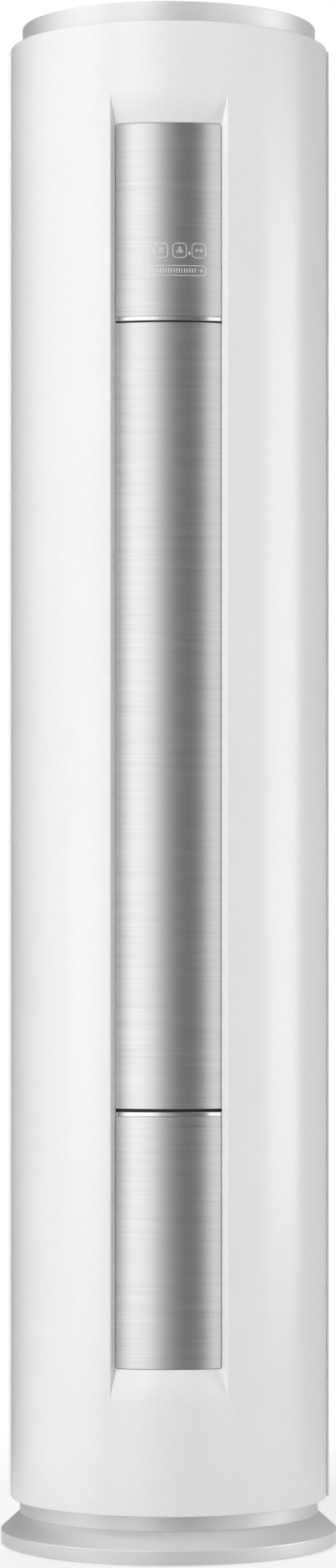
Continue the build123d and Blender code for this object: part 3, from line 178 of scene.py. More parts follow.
# graphite ABS of the air guides and the panels' carriers, moulded: satin, a shade lighter than the black
graphite_abs = grained("graphite_moulded_abs", "#36383A", "#424547", 0.7, 0.42, 0.02)
# chrome plate on ABS: close to a mirror, and even over some 30 mm
chrome = grained("chrome_plate", "#C8C8C8", "#D0D0D0", 30.0, 0.05, 0.001, metallic=1.0, rough_swing=0.015)
# screen-printed key lines: plain pale grey ink, nearly even
key_lines = grained("pale_grey_key_print", "#E0E0E0", "#EAEAEA", 6.0, 0.3, 0.001)


def galvanised_steel():
    """Hot-dip zinc on steel sheet: spangles about 7 mm across, each a slightly different grey."""
    made, tree, place = new_material("galvanised_steel")
    spangle = add_node(tree, "TexVoronoi", inputs={"Vector": place, "Scale": 1 / (7 * MM)})
    tone = add_node(tree, "RGBToBW", inputs={"Color": spangle.outputs["Color"]})
    colour = add_node(tree, "ValToRGB", inputs={"Fac": tone.outputs["Val"]})
    stops(colour, [(0.2, paint("#8D9294")), (0.8, paint("#B4B8B9"))])
    rough = add_node(tree, "MapRange", inputs={"Value": tone.outputs["Val"], "To Min": 0.32, "To Max": 0.5})
    finish_material(
        tree,
        {
            "Base Color": colour.outputs["Color"],
            "Roughness": rough.outputs["Result"],
            "Metallic": 0.9,
        },
    )
    return made


def brushed_aluminium():
    """Aluminium foil face, brushed sideways: level hair lines in lighter and darker bands."""
    made, tree, place = new_material("brushed_aluminium")
    # lines some 110 mm long and 0.9 mm apart, coarser than real brushing so that they show
    hair_place = add_node(tree, "Mapping", inputs={"Vector": place, "Scale": (9.0, 0.0, 1100.0)})
    hair_grain = {"Vector": hair_place.outputs["Vector"], "Scale": 1.0, "Detail": 4.0, "Roughness": 0.65}
    hair = add_node(tree, "TexNoise", inputs=hair_grain)
    # bands some 250 mm long and 8 mm high
    band_place = add_node(tree, "Mapping", inputs={"Vector": place, "Scale": (4.0, 0.0, 130.0)})
    band_grain = {"Vector": band_place.outputs["Vector"], "Scale": 1.0, "Detail": 3.0, "Roughness": 0.6}
    band = add_node(tree, "TexNoise", inputs=band_grain)
    band_part = 0.28
    mix_parts = {"Factor": band_part, "A": hair.outputs["Fac"], "B": band.outputs["Fac"]}
    mix = add_node(tree, "Mix", {"data_type": "FLOAT"}, mix_parts)
    colour = add_node(tree, "ValToRGB", inputs={"Fac": mix.outputs["Result"]})
    stops(colour, [(0.25, paint("#ABABAB")), (0.75, paint("#CECECE"))])
    rough_range = {"From Min": NOISE_LOW, "From Max": NOISE_HIGH, "To Min": 0.26, "To Max": 0.36}
    rough = add_node(tree, "MapRange", inputs={"Value": mix.outputs["Result"], **rough_range})
    groove = {"Strength": 0.6, "Distance": 0.02 * MM, "Height": hair.outputs["Fac"]}
    relief = add_node(tree, "Bump", inputs=groove)
    # reflections stretch upright, across the hair lines
    upright = add_node(tree, "CombineXYZ", inputs={"Z": 1.0})
    finish_material(
        tree,
        {
            "Base Color": colour.outputs["Color"],
            "Roughness": rough.outputs["Result"],
            "Metallic": 1.0,
            "Anisotropic": 0.7,
            "Tangent": upright.outputs["Vector"],
            "Normal": relief.outputs["Normal"],
        },
    )
    return made


def coil_fins():
    """Aluminium foil fins: the light and shade of level ripples pressed in them, painted as grey bands 3 mm
    apart, coarser so that they show.
    """
    made, tree, place = new_material("aluminium_foil_fins_painted_ripple_shade")
    bands = {"wave_type": "BANDS", "bands_direction": "Z"}
    painted_ripple_shade = add_node(tree, "TexWave", bands, {"Vector": place, "Scale": wave_scale(3), "Distortion": 0.6})
    colour = add_node(tree, "ValToRGB", inputs={"Fac": painted_ripple_shade.outputs["Fac"]})
    # the stops run from a ripple's shaded side to its lit side: painted shade and painted light
    stops(colour, [(0.1, paint("#7E858A")), (0.8, paint("#C4CACD"))])
    finish_material(tree, {"Base Color": colour.outputs["Color"], "Roughness": 0.4, "Metallic": 0.8})
    return made


def circuit_board():
    """Fibreglass board under green solder mask, with copper tracks 0.4 mm wide and 2.8 mm apart."""
    made, tree, place = new_material("solder_mask_board")
    mask = {"Color1": paint("#0F4A2A"), "Color2": paint("#0C4023"), "Mortar": paint("#3F8A5A")}
    track = add_node(tree, "TexBrick", inputs={"Vector": place, "Scale": 90.0, "Mortar Size": 0.018, **mask})
    finish_material(tree, {"Base Color": track.outputs["Color"], "Roughness": 0.4, "Coat Weight": 0.4})
    return made


def filter_net():
    """Woven nylon net: dark grey threads drawn 2 mm apart, coarser so that they show, with painted shade,
    nearly black, in the open meshes between them.
    """
    made, tree, place = new_material("woven_nylon_net_painted_shade")
    thread = {"Vector": place, "Scale": wave_scale(2)}
    level = add_node(tree, "TexWave", {"wave_type": "BANDS", "bands_direction": "Z"}, thread)
    across = add_node(tree, "TexWave", {"wave_type": "BANDS", "bands_direction": "X"}, thread)
    threads = {0: level.outputs["Fac"], 1: across.outputs["Fac"]}
    weave = add_node(tree, "Math", {"operation": "MAXIMUM"}, threads)
    colour = add_node(tree, "ValToRGB", inputs={"Fac": weave.outputs[0]})
    # the open meshes are painted nearly black as shade and the threads dark grey
    stops(colour, [(0.35, paint("#0B0C0C")), (0.8, paint("#3B3F42"))])
    relief = add_node(tree, "Bump", inputs={"Distance": 0.2 * MM, "Height": weave.outputs[0]})
    finish_material(
        tree,
        {
            "Base Color": colour.outputs["Color"],
            "Roughness": 0.7,
            "Normal": relief.outputs["Normal"],
        },
    )
    return made


brushed = brushed_aluminium()
finish_of_slot = {
    "white": gloss_white,
    "silver": silver_lacquer,
    "silver_dark": shaded_silver_lacquer,
    "brushed": brushed,
    "chrome": chrome,
    "rubber": rubber,
    "steel": galvanised_steel(),
    "board": circuit_board(),
    "dark_plastic": black_abs,
    "nylon": nylon,
    "motor_case": motor_enamel,
    "fins": coil_fins(),
    "copper": copper,
    "brass": brass,
    "hose": pale_pvc,
    "filter": grey_abs,
    "mesh": filter_net(),
}
graphite_parts = ["display_panel", "lower_panel", "vane_left", "vane_right", "vane_link_bar"]
graphite_parts += ["blade_link_bar"] + [f"blade_{i}" for i in range(1, 9)]


def dress(piece, finish):
    """Gives a piece one finish."""
    piece.data.materials.clear()
    piece.data.materials.append(finish)


for subpart in frame["record"]["subparts"]:
    dress(nodes[subpart["node"]], finish_of_slot[subpart["material_slot"]])
for name in graphite_parts:
    dress(nodes[name], graphite_abs)


# ---------------------------------------------------------------- studio

# the lens and stand were worked out from the cylinder's outlines and rims in the photograph
camera_data = bpy.data.cameras.new("camera")
camera_data.sensor_width = 36
camera_data.lens = 100.2
camera_data.shift_x = -0.0005
camera_data.shift_y = 0.078
camera_data.clip_end = 100
camera = bpy.data.objects.new("camera", camera_data)
camera.location = (0, -5.2, 0.757)
camera.rotation_euler = (math.radians(90), 0, 0)
in_scene.link(camera)
bpy.context.scene.camera = camera
bpy.context.scene.view_settings.view_transform = "Standard"

# the lamps are aimed at the middle of the object, this high in metres
MIDDLE = 0.9


def softbox(name, bearing, elevation, distance, width, tall, radiance, mirrored=True):
    """A lamp of a size and distance in metres, at degrees from the front, positive to the viewer's right."""
    data = bpy.data.lights.new(name, "AREA")
    data.shape = "RECTANGLE"
    data.size = width
    data.size_y = tall
    data.energy = radiance * math.pi * width * tall
    light = bpy.data.objects.new(name, data)
    turn = math.radians(bearing)
    rise = math.radians(elevation)
    light.location = (
        distance * math.cos(rise) * math.sin(turn),
        -distance * math.cos(rise) * math.cos(turn),
        MIDDLE + distance * math.sin(rise),
    )
    aim = Vector((0, 0, MIDDLE)) - light.location
    light.rotation_euler = aim.to_track_quat("-Z", "Y").to_euler()
    light.visible_camera = False
    light.visible_glossy = mirrored
    in_scene.link(light)


# the lamps that aren't mirrored light the object and don't show in its reflections
softbox("front_left_key", -28, 44, 8.0, 4.0, 4.0, 7.0, mirrored=False)
softbox("front_left_fill", -32, 2, 8.0, 3.6, 5.5, 2.5, mirrored=False)
softbox("left_softbox", -60, 0, 4.0, 2.0, 5.0, 0.5)
softbox("low_left_fill", -60, -5, 4.0, 2.2, 0.9, 1.4)
softbox("right_softbox", 70, 0, 4.0, 1.6, 5.0, 0.8, mirrored=False)
softbox("right_glint", 90, 2, 4.0, 2.3, 2.6, 3.6)
softbox("back_fill", 180, 50, 5.0, 3.0, 3.0, 4.0)

# the studio as polished metal mirrors it, in listed bearings and brightnesses: pale walls,
# a bright opening to the left of the front, a dark gap in front, and a bright strip to the right
STUDIO_WALLS = [
    (-180, 0.2), (-142, 0.1), (-126, 0.25), (-113, 0.8), (-98, 1.6), (-60, 1.7), (-50, 1.2), (-46, 0.6),
    (-42, 0.25), (-38, 0.45), (-34, 1.4), (-29, 2.1), (-25, 1.9), (-12, 1.5), (-6, 0.85), (-1, 0.6),
    (5, 0.36), (9, 0.27), (14, 0.24), (22, 0.23), (26, 0.38), (29, 0.65), (31.5, 1.5), (41, 1.55),
    (43, 0.5), (50, 1.1), (70, 1.3), (84, 1.2), (98, 0.9), (112, 0.4),
]


def studio_tone(tree, direction):
    """The studio's brightness in a direction, by its bearing from the front."""
    parts = add_node(tree, "SeparateXYZ", inputs={"Vector": direction})
    ahead = add_node(tree, "Math", {"operation": "MULTIPLY"}, {0: parts.outputs["Y"], 1: -1.0})
    bearing = add_node(tree, "Math", {"operation": "ARCTAN2"}, {0: parts.outputs["X"], 1: ahead.outputs[0]})
    full_turn = {"From Min": -math.pi, "From Max": math.pi}
    share = add_node(tree, "MapRange", inputs={"Value": bearing.outputs[0], **full_turn})
    wall = add_node(tree, "ValToRGB", inputs={"Fac": share.outputs["Result"]})
    return stops(wall, [((degrees + 180) / 360, (v, v, v, 1)) for degrees, v in STUDIO_WALLS])


# the world: a faint even light on the object, the studio in its reflections, and white to the camera
WHITE = (1, 1, 1, 1)
world = bpy.data.worlds.new("studio")
bpy.context.scene.world = world
world.use_nodes = True
sky = world.node_tree
sky.nodes.clear()
direction = add_node(sky, "TexCoord").outputs["Generated"]
ray = add_node(sky, "LightPath").outputs
ambient = add_node(sky, "Background", inputs={"Color": WHITE, "Strength": 0.05})
studio = add_node(sky, "Background", inputs={"Color": studio_tone(sky, direction), "Strength": 1.0})
backdrop = add_node(sky, "Background", inputs={"Color": WHITE, "Strength": 1.0})
direct = {0: ray["Is Camera Ray"], 1: ray["Is Transmission Ray"]}
seen = add_node(sky, "Math", {"operation": "MAXIMUM"}, direct)
unseen_parts = {0: ray["Is Glossy Ray"], 1: ambient.outputs[0], 2: studio.outputs[0]}
unseen = add_node(sky, "MixShader", inputs=unseen_parts)
shown = add_node(sky, "MixShader", inputs={0: seen.outputs[0], 1: unseen.outputs[0], 2: backdrop.outputs[0]})
add_node(sky, "OutputWorld", inputs={"Surface": shown.outputs[0]})


def pale_studio_floor():
    """White paper that glows plain white where it is seen, and near the object shows the shadow on it."""
    made, tree, place = new_material("pale_studio_floor")
    ray = add_node(tree, "LightPath").outputs
    paper = add_node(tree, "BsdfDiffuse", inputs={"Color": paint("#F4F4F3")})
    # the glow is white to the camera, and has the studio's tones in reflections
    tones = {"Factor": ray["Is Glossy Ray"], 6: WHITE, 7: studio_tone(tree, place)}
    tone = add_node(tree, "Mix", {"data_type": "RGBA"}, tones)
    glow = add_node(tree, "Emission", inputs={"Color": tone.outputs[2], "Strength": 1.0})
    # the lit paper has a share of 0.3 within 0.5 m of the axis, which fades to none at 1.1 m
    span = add_node(tree, "VectorMath", {"operation": "LENGTH"}, {0: place})
    fading = {"From Min": 0.5, "From Max": 1.1, "To Min": 0.3, "To Max": 0.0}
    fade = add_node(tree, "MapRange", inputs={"Value": span.outputs["Value"], **fading})
    # reflections see three times that share, so that the base's metal isn't lit up from below
    tripled = {0: ray["Is Glossy Ray"], 1: 2.0, 2: 1.0}
    stronger = add_node(tree, "Math", {"operation": "MULTIPLY_ADD"}, tripled)
    paper_part = {0: stronger.outputs[0], 1: fade.outputs["Result"]}
    share = add_node(tree, "Math", {"operation": "MULTIPLY"}, paper_part)
    near = add_node(tree, "MixShader", inputs={0: share.outputs[0], 1: glow.outputs[0], 2: paper.outputs[0]})
    # every other ray meets plain paper
    direct = {0: ray["Is Camera Ray"], 1: ray["Is Glossy Ray"]}
    open_view = add_node(tree, "Math", {"operation": "MAXIMUM"}, direct)
    through = {0: open_view.outputs[0], 1: ray["Is Transmission Ray"]}
    seen = add_node(tree, "Math", {"operation": "MAXIMUM"}, through)
    shown = add_node(tree, "MixShader", inputs={0: seen.outputs[0], 1: paper.outputs[0], 2: near.outputs[0]})
    add_node(tree, "OutputMaterial", inputs={"Surface": shown.outputs[0]})
    return made


floor_shape = bmesh.new()
bmesh.ops.create_grid(floor_shape, x_segments=8, y_segments=8, size=30)
floor_mesh = bpy.data.meshes.new("floor")
floor_shape.to_mesh(floor_mesh)
floor_shape.free()
floor = bpy.data.objects.new("floor", floor_mesh)
in_scene.link(floor)
dress(floor, pale_studio_floor())


# ---------------------------------------------------------------- shaping

# an edge that turns by the first or more shades as sharp, and only one that turns by more than the second
# is rounded
SHARP = math.radians(34)
ROUNDED = math.radians(30)
# steps in a full turn and in a plate's rounded corner, and mm between the cuts that let a flat shape bend
TURN_STEPS = 180
CORNER_STEPS = 6
BEND_STEP = 3.0
# points nearer than this, in mm, are one: in a turned shape, in the shell, and along its shortest edges
TURNED_WELD = 0.002
SHELL_WELD = 0.004
SHORT_EDGE = 0.003


def close_piece(name, shape, finish, body, stands_for=()):
    """Makes a finished bmesh a piece: smooth except at real edges, dressed, and riding on its body."""
    for face in shape.faces:
        face.smooth = True
    for edge in shape.edges:
        edge.smooth = len(edge.link_faces) == 2 and edge.calc_face_angle(0) < SHARP
    mesh = bpy.data.meshes.new(name)
    shape.to_mesh(mesh)
    shape.free()
    piece = bpy.data.objects.new(name, mesh)
    in_scene.link(piece)
    piece.modifiers.new("even_shading", "WEIGHTED_NORMAL").keep_sharp = True
    dress(piece, finish)
    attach(piece, body)
    if stands_for:
        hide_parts(*stands_for)


def join(shape, part):
    """Adds one bmesh to another, and frees it."""
    mesh = bpy.data.meshes.new("joined_part")
    part.to_mesh(mesh)
    part.free()
    shape.from_mesh(mesh)
    bpy.data.meshes.remove(mesh)


def soften(shape, width, where, segments=3):
    """Rounds the real edges that a test picks, over a width in mm."""
    closed = [edge for edge in shape.edges if len(edge.link_faces) == 2]
    turning = [edge for edge in closed if edge.calc_face_angle(0) > ROUNDED]
    bmesh.ops.bevel(
        shape,
        geom=[edge for edge in turning if where(edge)],
        offset=width * MM,
        offset_type="OFFSET",
        affect="EDGES",
        segments=segments,
        profile=0.5,
        material=-1,
        clamp_overlap=True,
    )


def turned(outline):
    """A closed outline of radii and heights in mm, turned once about the cabinet's axis."""
    shape = bmesh.new()
    corners = [shape.verts.new((radius * MM, 0, height * MM)) for radius, height in outline]
    for start, end in zip(corners, corners[1:] + corners[:1]):
        shape.edges.new((start, end))
    bmesh.ops.spin(
        shape,
        geom=corners + shape.edges[:],
        cent=(0, 0, 0),
        axis=(0, 0, 1),
        angle=2 * math.pi,
        steps=TURN_STEPS,
        use_merge=True,
    )
    bmesh.ops.remove_doubles(shape, verts=shape.verts, dist=TURNED_WELD * MM)
    bmesh.ops.recalc_face_normals(shape, faces=shape.faces)
    return shape


def bent(shape, radius):
    """Wraps a flat shape, drawn in X and Z and facing -Y, round the cabinet at a radius in mm."""
    reach = max(abs(v.co.x) for v in shape.verts)
    cuts = int(reach / (BEND_STEP * MM))
    for cut in range(-cuts, cuts + 1):
        bmesh.ops.bisect_plane(
            shape,
            geom=shape.verts[:] + shape.edges[:] + shape.faces[:],
            plane_co=(cut * BEND_STEP * MM, 0, 0),
            plane_no=(1, 0, 0),
            dist=0.0005 * MM,
        )
    for v in shape.verts:
        bearing = v.co.x / (radius * MM)
        out = radius * MM - v.co.y
        v.co = (out * math.sin(bearing), -out * math.cos(bearing), v.co.z)
    return shape


def plate(left, right, bottom, top, round_top=0.0, round_bottom=0.0):
    """A flat face in X and Z, in mm, with rounded corners, looking towards -Y."""
    shape = bmesh.new()
    places = ((left, bottom), (right, bottom), (right, top), (left, top))
    corners = [shape.verts.new((x * MM, 0, z * MM)) for x, z in places]
    shape.faces.new(corners)
    for radius, pair in ((round_top, corners[2:]), (round_bottom, corners[:2])):
        if radius:
            bmesh.ops.bevel(
                shape,
                geom=pair,
                offset=radius * MM,
                offset_type="OFFSET",
                affect="VERTICES",
                segments=CORNER_STEPS,
                profile=0.5,
                material=-1,
            )
    return shape


def thicken(shape, thickness, soft=0.0):
    """Gives a flat face its thickness behind it, in mm, and rounds the front rim."""
    made = bmesh.ops.extrude_face_region(shape, geom=shape.faces[:], use_keep_orig=True)
    moved = [item for item in made["geom"] if isinstance(item, bmesh.types.BMVert)]
    bmesh.ops.translate(shape, verts=moved, vec=(0, thickness * MM, 0))
    bmesh.ops.recalc_face_normals(shape, faces=shape.faces)
    if soft:
        soften(shape, soft, where=lambda edge: all(v.co.y < 0.01 * MM for v in edge.verts))
    return shape


# ---------------------------------------------------------------- base, neck and cap

# heights in mm of the neck's foot, the gap between neck and shell, and the shell's top under the cap
NECK_FOOT = 37.4
SHELL_FOOT = 55
SHELL_TOP = 1775
# radii in mm of the base, and of the neck outside and inside
BASE = 199.5
NECK = 177.2
NECK_BORE = 165.2

# a sloping skirt whose rims beyond this radius are rounded
ROUNDED_FROM = 176.5
slope_inside = [(NECK_BORE, 34.4), (176.0, 34.4), (196.5, 16.2), (196.5, 1.5)]
shape = turned([(BASE, 1.5), (BASE, 17.6), (NECK, NECK_FOOT), (NECK_BORE, NECK_FOOT), *slope_inside])
soften(shape, 0.7, where=lambda edge: math.hypot(*edge.verts[0].co.xy) > ROUNDED_FROM * MM)
close_piece("silver_base_skirt", shape, silver_lacquer, "cabinet", ["base_skirt"])

# the neck wears the darker lacquer, whose darkening is painted shade from the shell's overhang above it
shape = turned([(NECK, NECK_FOOT), (NECK, SHELL_FOOT), (NECK_BORE, SHELL_FOOT), (NECK_BORE, NECK_FOOT)])
close_piece("recessed_neck", shape, shaded_silver_lacquer, "cabinet", ["neck_ring"])

# an upright ring that ends 25 mm above the shell, with a ledge inside that the lid lies on
ring_outside = [(173.9, SHELL_TOP), (173.9, 1800), (170.9, 1800)]
ledge = [(170.9, 1794), (158.9, 1794), (158.9, 1791), (170.9, 1791)]
shape = turned([*ring_outside, *ledge, (170.9, SHELL_TOP)])
soften(shape, 1.2, where=lambda edge: edge.verts[0].co.z > 1799 * MM, segments=4)
close_piece("silver_cap_ring", shape, silver_lacquer, "cabinet", ["cap_ring"])


# ---------------------------------------------------------------- front shell with its channel

# radii in mm of the shell and of its channel's floor, and the channel's depth
FRONT = 187.5
CHANNEL = 12.1
FLOOR = FRONT - CHANNEL
# heights between which the channel has its full depth, and over which each end then eases out
PANEL_TOP = 1659.6
PANEL_BOTTOM = 223.2
RAMP = 36.0
# how softly a ramp meets the casing, where 0 is not at all
EASE = 0.4
# the channel's edge: its distance from the middle plane, and its rounding, which takes at most this part
# of the depth
EDGE_X = 67.3
EDGE_TURN = 1.4
EDGE_PART = 0.4
# for each mm of depth, how far the channel's wall leans in, and how long it is
WALL_LEAN = 0.51
WALL_RUN = 1.1
# how far the shell's top and foot turn in, the rounding of their rims, and the sheet's thickness
LIP = 19.5
LIP_TURN = 1.5
SHELL_SHEET = 2.5
# heights between which the opening's sides are straight
STRAIGHT_TOP = 1650
STRAIGHT_BOTTOM = 240
# steps along a side, half the channel's floor, a ramp, and the height of the panels
SIDE_STEPS = 30
FLOOR_STEPS = 14
RAMP_STEPS = 20
PANEL_STEPS = 16


def channel_depth(z):
    """How deep the channel's floor lies at a height: full behind the panels, then easing out."""
    beyond = max(z - PANEL_TOP, PANEL_BOTTOM - z, 0.0)
    rise = max(0.0, 1 - beyond / RAMP)
    return CHANNEL * (math.hypot(rise, EASE) - EASE) / (math.hypot(1.0, EASE) - EASE)


def shell_point(part, share, side, z):
    """The shell's bearing and radius at a height, a share of the way along one part of its section."""
    depth = channel_depth(z)
    edge = math.asin(EDGE_X / FRONT)
    turn = min(EDGE_TURN, EDGE_PART * depth)
    foot = math.asin((EDGE_X - WALL_LEAN * depth) / (FRONT - depth))
    down = turn / (WALL_RUN * depth) if depth > 0.01 else 0.0
    if part == "side":
        start = edge + turn / FRONT
        return side * (start + share * (math.pi / 2 - start)), FRONT
    if part == "turn":
        before = (1 - share) ** 2
        after = share**2
        turn_end = math.asin((EDGE_X - WALL_LEAN * down * depth) / (FRONT - down * depth))
        return side * (edge + before * turn / FRONT - after * (edge - turn_end)), FRONT - after * down * depth
    if part == "wall":
        along = down + share * (1 - down)
        return side * (edge - along * (edge - foot)), FRONT - along * depth
    return side * share * foot, FRONT - depth


# columns of points across the shell: each side from the back forwards, and the channel's floor between
half = [("side", i / SIDE_STEPS) for i in range(SIDE_STEPS, -1, -1)]
half += [("turn", share) for share in (0.25, 0.5, 0.75, 1.0)]
half += [("wall", share) for share in (0.5, 1.0)]
columns = [(*column, -1) for column in half]
across_floor = range(1 - FLOOR_STEPS, FLOOR_STEPS)
columns += [("floor", abs(i) / FLOOR_STEPS, -1 if i < 0 else 1) for i in across_floor]
columns += [(*column, 1) for column in reversed(half)]

# rows of points from the top down: how far each is set in from the shell's face, and its height
quarter = [math.radians(degrees) for degrees in (0, 22.5, 45, 67.5, 90)]
lip = [(LIP, 0.0)] + [(LIP_TURN * (1 - math.sin(a)), LIP_TURN * (1 - math.cos(a))) for a in quarter]
rows = [(inset, SHELL_TOP - drop) for inset, drop in lip]
rows += [(0.0, z) for z in (1764, 1740, 1720, 1706)]
rows += [(0.0, PANEL_TOP + RAMP * i / RAMP_STEPS) for i in range(RAMP_STEPS, -1, -1)]
rows += [(0.0, PANEL_TOP + (PANEL_BOTTOM - PANEL_TOP) * i / PANEL_STEPS) for i in range(1, PANEL_STEPS)]
rows += [(0.0, PANEL_BOTTOM - RAMP * i / RAMP_STEPS) for i in range(0, RAMP_STEPS + 1)]
rows += [(0.0, z) for z in (176, 150, 110, 75)]
rows += [(inset, SHELL_FOOT + drop) for inset, drop in reversed(lip)]

shape = bmesh.new()
last_column = len(columns) - 1
last_row = len(rows) - 1
bmesh.ops.create_grid(shape, x_segments=last_column, y_segments=last_row, size=0.5)
for v in shape.verts:
    part, share, side = columns[round((v.co.x + 0.5) * last_column)]
    inset, z = rows[round((0.5 - v.co.y) * last_row)]
    bearing, radius = shell_point(part, share, side, z)
    radius -= inset
    v.co = (radius * math.sin(bearing) * MM, -radius * math.cos(bearing) * MM, z * MM)


def in_opening(face):
    """Whether a face of the shell lies wholly on the channel's floor, which is open behind the panels."""
    on_floor = all(math.hypot(*v.co.xy) < (FLOOR + 0.01) * MM for v in face.verts)
    return on_floor and PANEL_BOTTOM * MM < face.calc_center_median().z < PANEL_TOP * MM


bmesh.ops.delete(shape, geom=[face for face in shape.faces if in_opening(face)], context="FACES")
bmesh.ops.remove_doubles(shape, verts=shape.verts, dist=SHELL_WELD * MM)
bmesh.ops.dissolve_degenerate(shape, edges=shape.edges, dist=SHORT_EDGE * MM)
# the faces of an open sheet may agree on looking inwards, and are then turned round
bmesh.ops.recalc_face_normals(shape, faces=shape.faces)
outward = sum(face.normal.xy.dot(face.calc_center_median().xy) for face in shape.faces)
if outward < 0:
    bmesh.ops.reverse_faces(shape, faces=shape.faces)
bmesh.ops.solidify(shape, geom=shape.faces, thickness=SHELL_SHEET * MM)
# beside the door the sheet ends at the channel floor's radius, so that the door slides past behind it
for v in shape.verts:
    out = math.hypot(v.co.x, v.co.y)
    if STRAIGHT_BOTTOM * MM < v.co.z < STRAIGHT_TOP * MM and out < FLOOR * MM:
        v.co.xy = v.co.xy * (FLOOR * MM / out)

# webs that round the opening's four corners, with this radius and thickness in mm
WEB = 3.4
WEB_SHEET = 1.6
wall_foot = math.asin((EDGE_X - WALL_LEAN * CHANNEL) / FLOOR) * FLOOR
web_turn = [math.radians(degrees) for degrees in range(0, 91, 15)]
web_outline = [(0, 0)] + [(WEB - WEB * math.sin(a), WEB - WEB * math.cos(a)) for a in web_turn]
for side in (-1, 1):
    for height, rise in ((PANEL_TOP, 1), (PANEL_BOTTOM, -1)):
        web = bmesh.new()
        places = [(side * (wall_foot - across), height - rise * down) for across, down in web_outline]
        web.faces.new([web.verts.new((x * MM, 0, z * MM)) for x, z in places])
        bmesh.ops.recalc_face_normals(web, faces=web.faces)
        if web.faces[:][0].normal.y > 0:
            bmesh.ops.reverse_faces(web, faces=web.faces)
        join(shape, bent(thicken(web, WEB_SHEET), FLOOR))
close_piece("white_front_shell", shape, gloss_white, "cabinet", ["front_shell"])


# ---------------------------------------------------------------- panels, door and strips

# the panels' face sheets: their radius, half width, corners, thickness and soft rim, in mm
FACE = 176.0
FACE_HALF = math.radians(20.2) * FACE
FACE_CORNER = 3.0
FACE_SHEET = 0.35
FACE_RIM = 0.15

sheet = plate(-FACE_HALF, FACE_HALF, 1436.9, 1659.0, round_top=FACE_CORNER)
shape = bent(thicken(sheet, FACE_SHEET, FACE_RIM), FACE)
close_piece("display_face_sheet", shape, brushed, "cabinet")
sheet = plate(-FACE_HALF, FACE_HALF, 223.8, 514.5, round_bottom=FACE_CORNER)
shape = bent(thicken(sheet, FACE_SHEET, FACE_RIM), FACE)
close_piece("lower_face_sheet", shape, brushed, "cabinet")

# the door: its radius and half width
DOOR = 175.0
DOOR_HALF = math.radians(21.4) * DOOR
shape = bent(thicken(plate(-DOOR_HALF, DOOR_HALF, 523.4, 1429.9), 1.6, 0.4), DOOR)
close_piece("brushed_outlet_door", shape, brushed, "door", ["outlet_door"])

# the strips above and below the door: their radius and half width
STRIP = 175.9
STRIP_HALF = math.radians(20.3) * STRIP
shape = bmesh.new()
for bottom, top in ((1431.8, 1436.7), (514.7, 519.8)):
    join(shape, bent(thicken(plate(-STRIP_HALF, STRIP_HALF, bottom, top), 3.3, 0.5), STRIP))
close_piece("chrome_strips", shape, chrome, "cabinet", ["trim_strips"])


# ---------------------------------------------------------------- touch keys

# four rounded keys with pictograms and a level slider under them, printed on the display's face:
# where each lies on it, a key's half width, half height and corners, the width of a line, and how thick
# the ink is and stands proud, in mm
POWER = -32.0
MODE = -9.0
SPEED = 12.5
SWING = 34.9
KEYS = 1512.2
SLIDER = 1489.1
KEY_WIDE = 8.2
KEY_TALL = 8.5
KEY_CORNER = 4.5
LINE = 0.65
INK = 0.16
PROUD = 0.06


def bar(x, z, wide, tall, turn=0.0):
    """A flat straight mark at a place on the display face, in mm, turned in degrees."""
    shape = plate(x - wide / 2, x + wide / 2, z - tall / 2, z + tall / 2)
    spin = Matrix.Rotation(math.radians(turn), 3, "Y")
    bmesh.ops.rotate(shape, cent=(x * MM, 0, z * MM), matrix=spin, verts=shape.verts)
    return shape


def disc(x, z, radius):
    """A flat round mark at a place on the display face, in mm."""
    shape = bmesh.new()
    upright = Matrix.Translation((x * MM, 0, z * MM)) @ Matrix.Rotation(math.pi / 2, 4, "X")
    bmesh.ops.create_circle(shape, cap_ends=True, segments=24, radius=radius * MM, matrix=upright)
    return shape


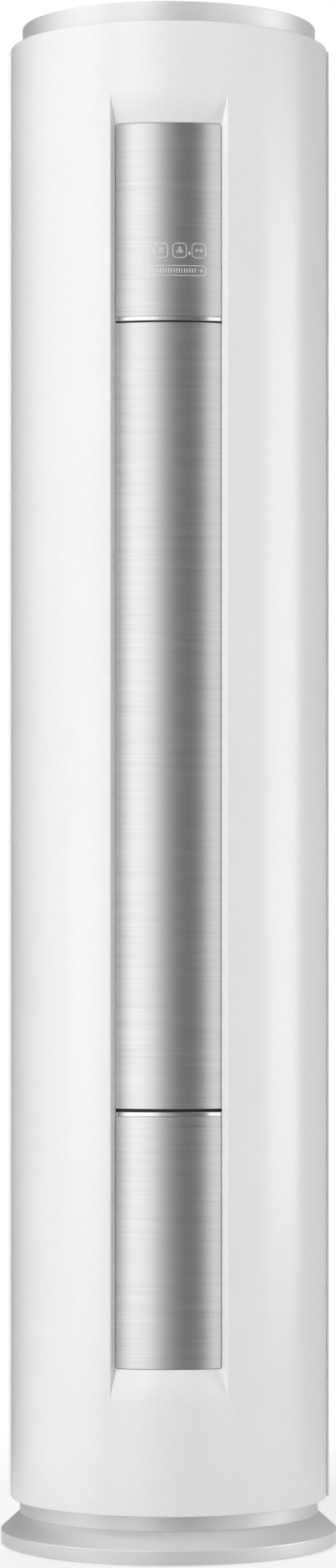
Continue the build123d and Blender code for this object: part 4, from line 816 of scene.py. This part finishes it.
def outlined(shape):
    """Leaves only a line of a flat mark, along its rim."""
    inset = bmesh.ops.inset_region(
        shape,
        faces=shape.faces[:],
        thickness=LINE * MM,
        use_boundary=True,
        use_even_offset=True,
    )
    rim = set(inset["faces"])
    bmesh.ops.delete(shape, geom=[face for face in shape.faces if face not in rim], context="FACES")
    return shape


marks = []
for x in (POWER, MODE, SPEED, SWING):
    key = plate(x - KEY_WIDE, x + KEY_WIDE, KEYS - KEY_TALL, KEYS + KEY_TALL, KEY_CORNER, KEY_CORNER)
    marks.append(outlined(key))
marks.append(outlined(plate(-40.2, 43.1, SLIDER - 6, SLIDER + 6, 4, 4)))
# power: a ring open at the top, with a stroke in the gap
ring = outlined(disc(POWER, KEYS, 3.3))
gap = [face for face in ring.faces if face.calc_center_median().z > (KEYS + 2.3) * MM]
bmesh.ops.delete(ring, geom=gap, context="FACES")
marks += [ring, bar(POWER, KEYS + 2.4, LINE, 3.4)]
# mode: three level strokes
marks += [bar(MODE, KEYS + dz, 6.6, LINE) for dz in (-2.3, 0, 2.3)]
# fan speed: three round blades about a hub
for turn in (0, 2 * math.pi / 3, -2 * math.pi / 3):
    marks.append(outlined(disc(SPEED + 2.5 * math.sin(turn), KEYS + 2.5 * math.cos(turn), 1.8)))
marks.append(disc(SPEED, KEYS, 0.6))
# swing: a stroke with an arrowhead at each end
marks.append(bar(SWING, KEYS, 8.0, LINE))
for side in (-1, 1):
    marks += [bar(SWING + side * 3.1, KEYS + rise * 0.9, 2.6, LINE, 45 * side * rise) for rise in (-1, 1)]
# slider: less, more, and twenty graduations
marks += [bar(-34.0, SLIDER, 4.0, LINE), bar(37.6, SLIDER, 4.0, LINE), bar(37.6, SLIDER, LINE, 4.0)]
marks += [bar(-27.6 + 3.05 * i, SLIDER, 0.9, 5.0) for i in range(20)]
# a small drop between the last two keys
drop = disc(23.8, KEYS - 3.6, 1.2)
for v in drop.verts:
    if v.co.z > (KEYS - 2.5) * MM:
        v.co.z += 1.5 * MM
marks.append(drop)

shape = bmesh.new()
for mark in marks:
    bmesh.ops.translate(mark, verts=mark.verts, vec=(0, -PROUD * MM, 0))
    join(shape, bent(thicken(mark, INK), FACE))
close_piece("printed_touch_marks", shape, key_lines, "cabinet")
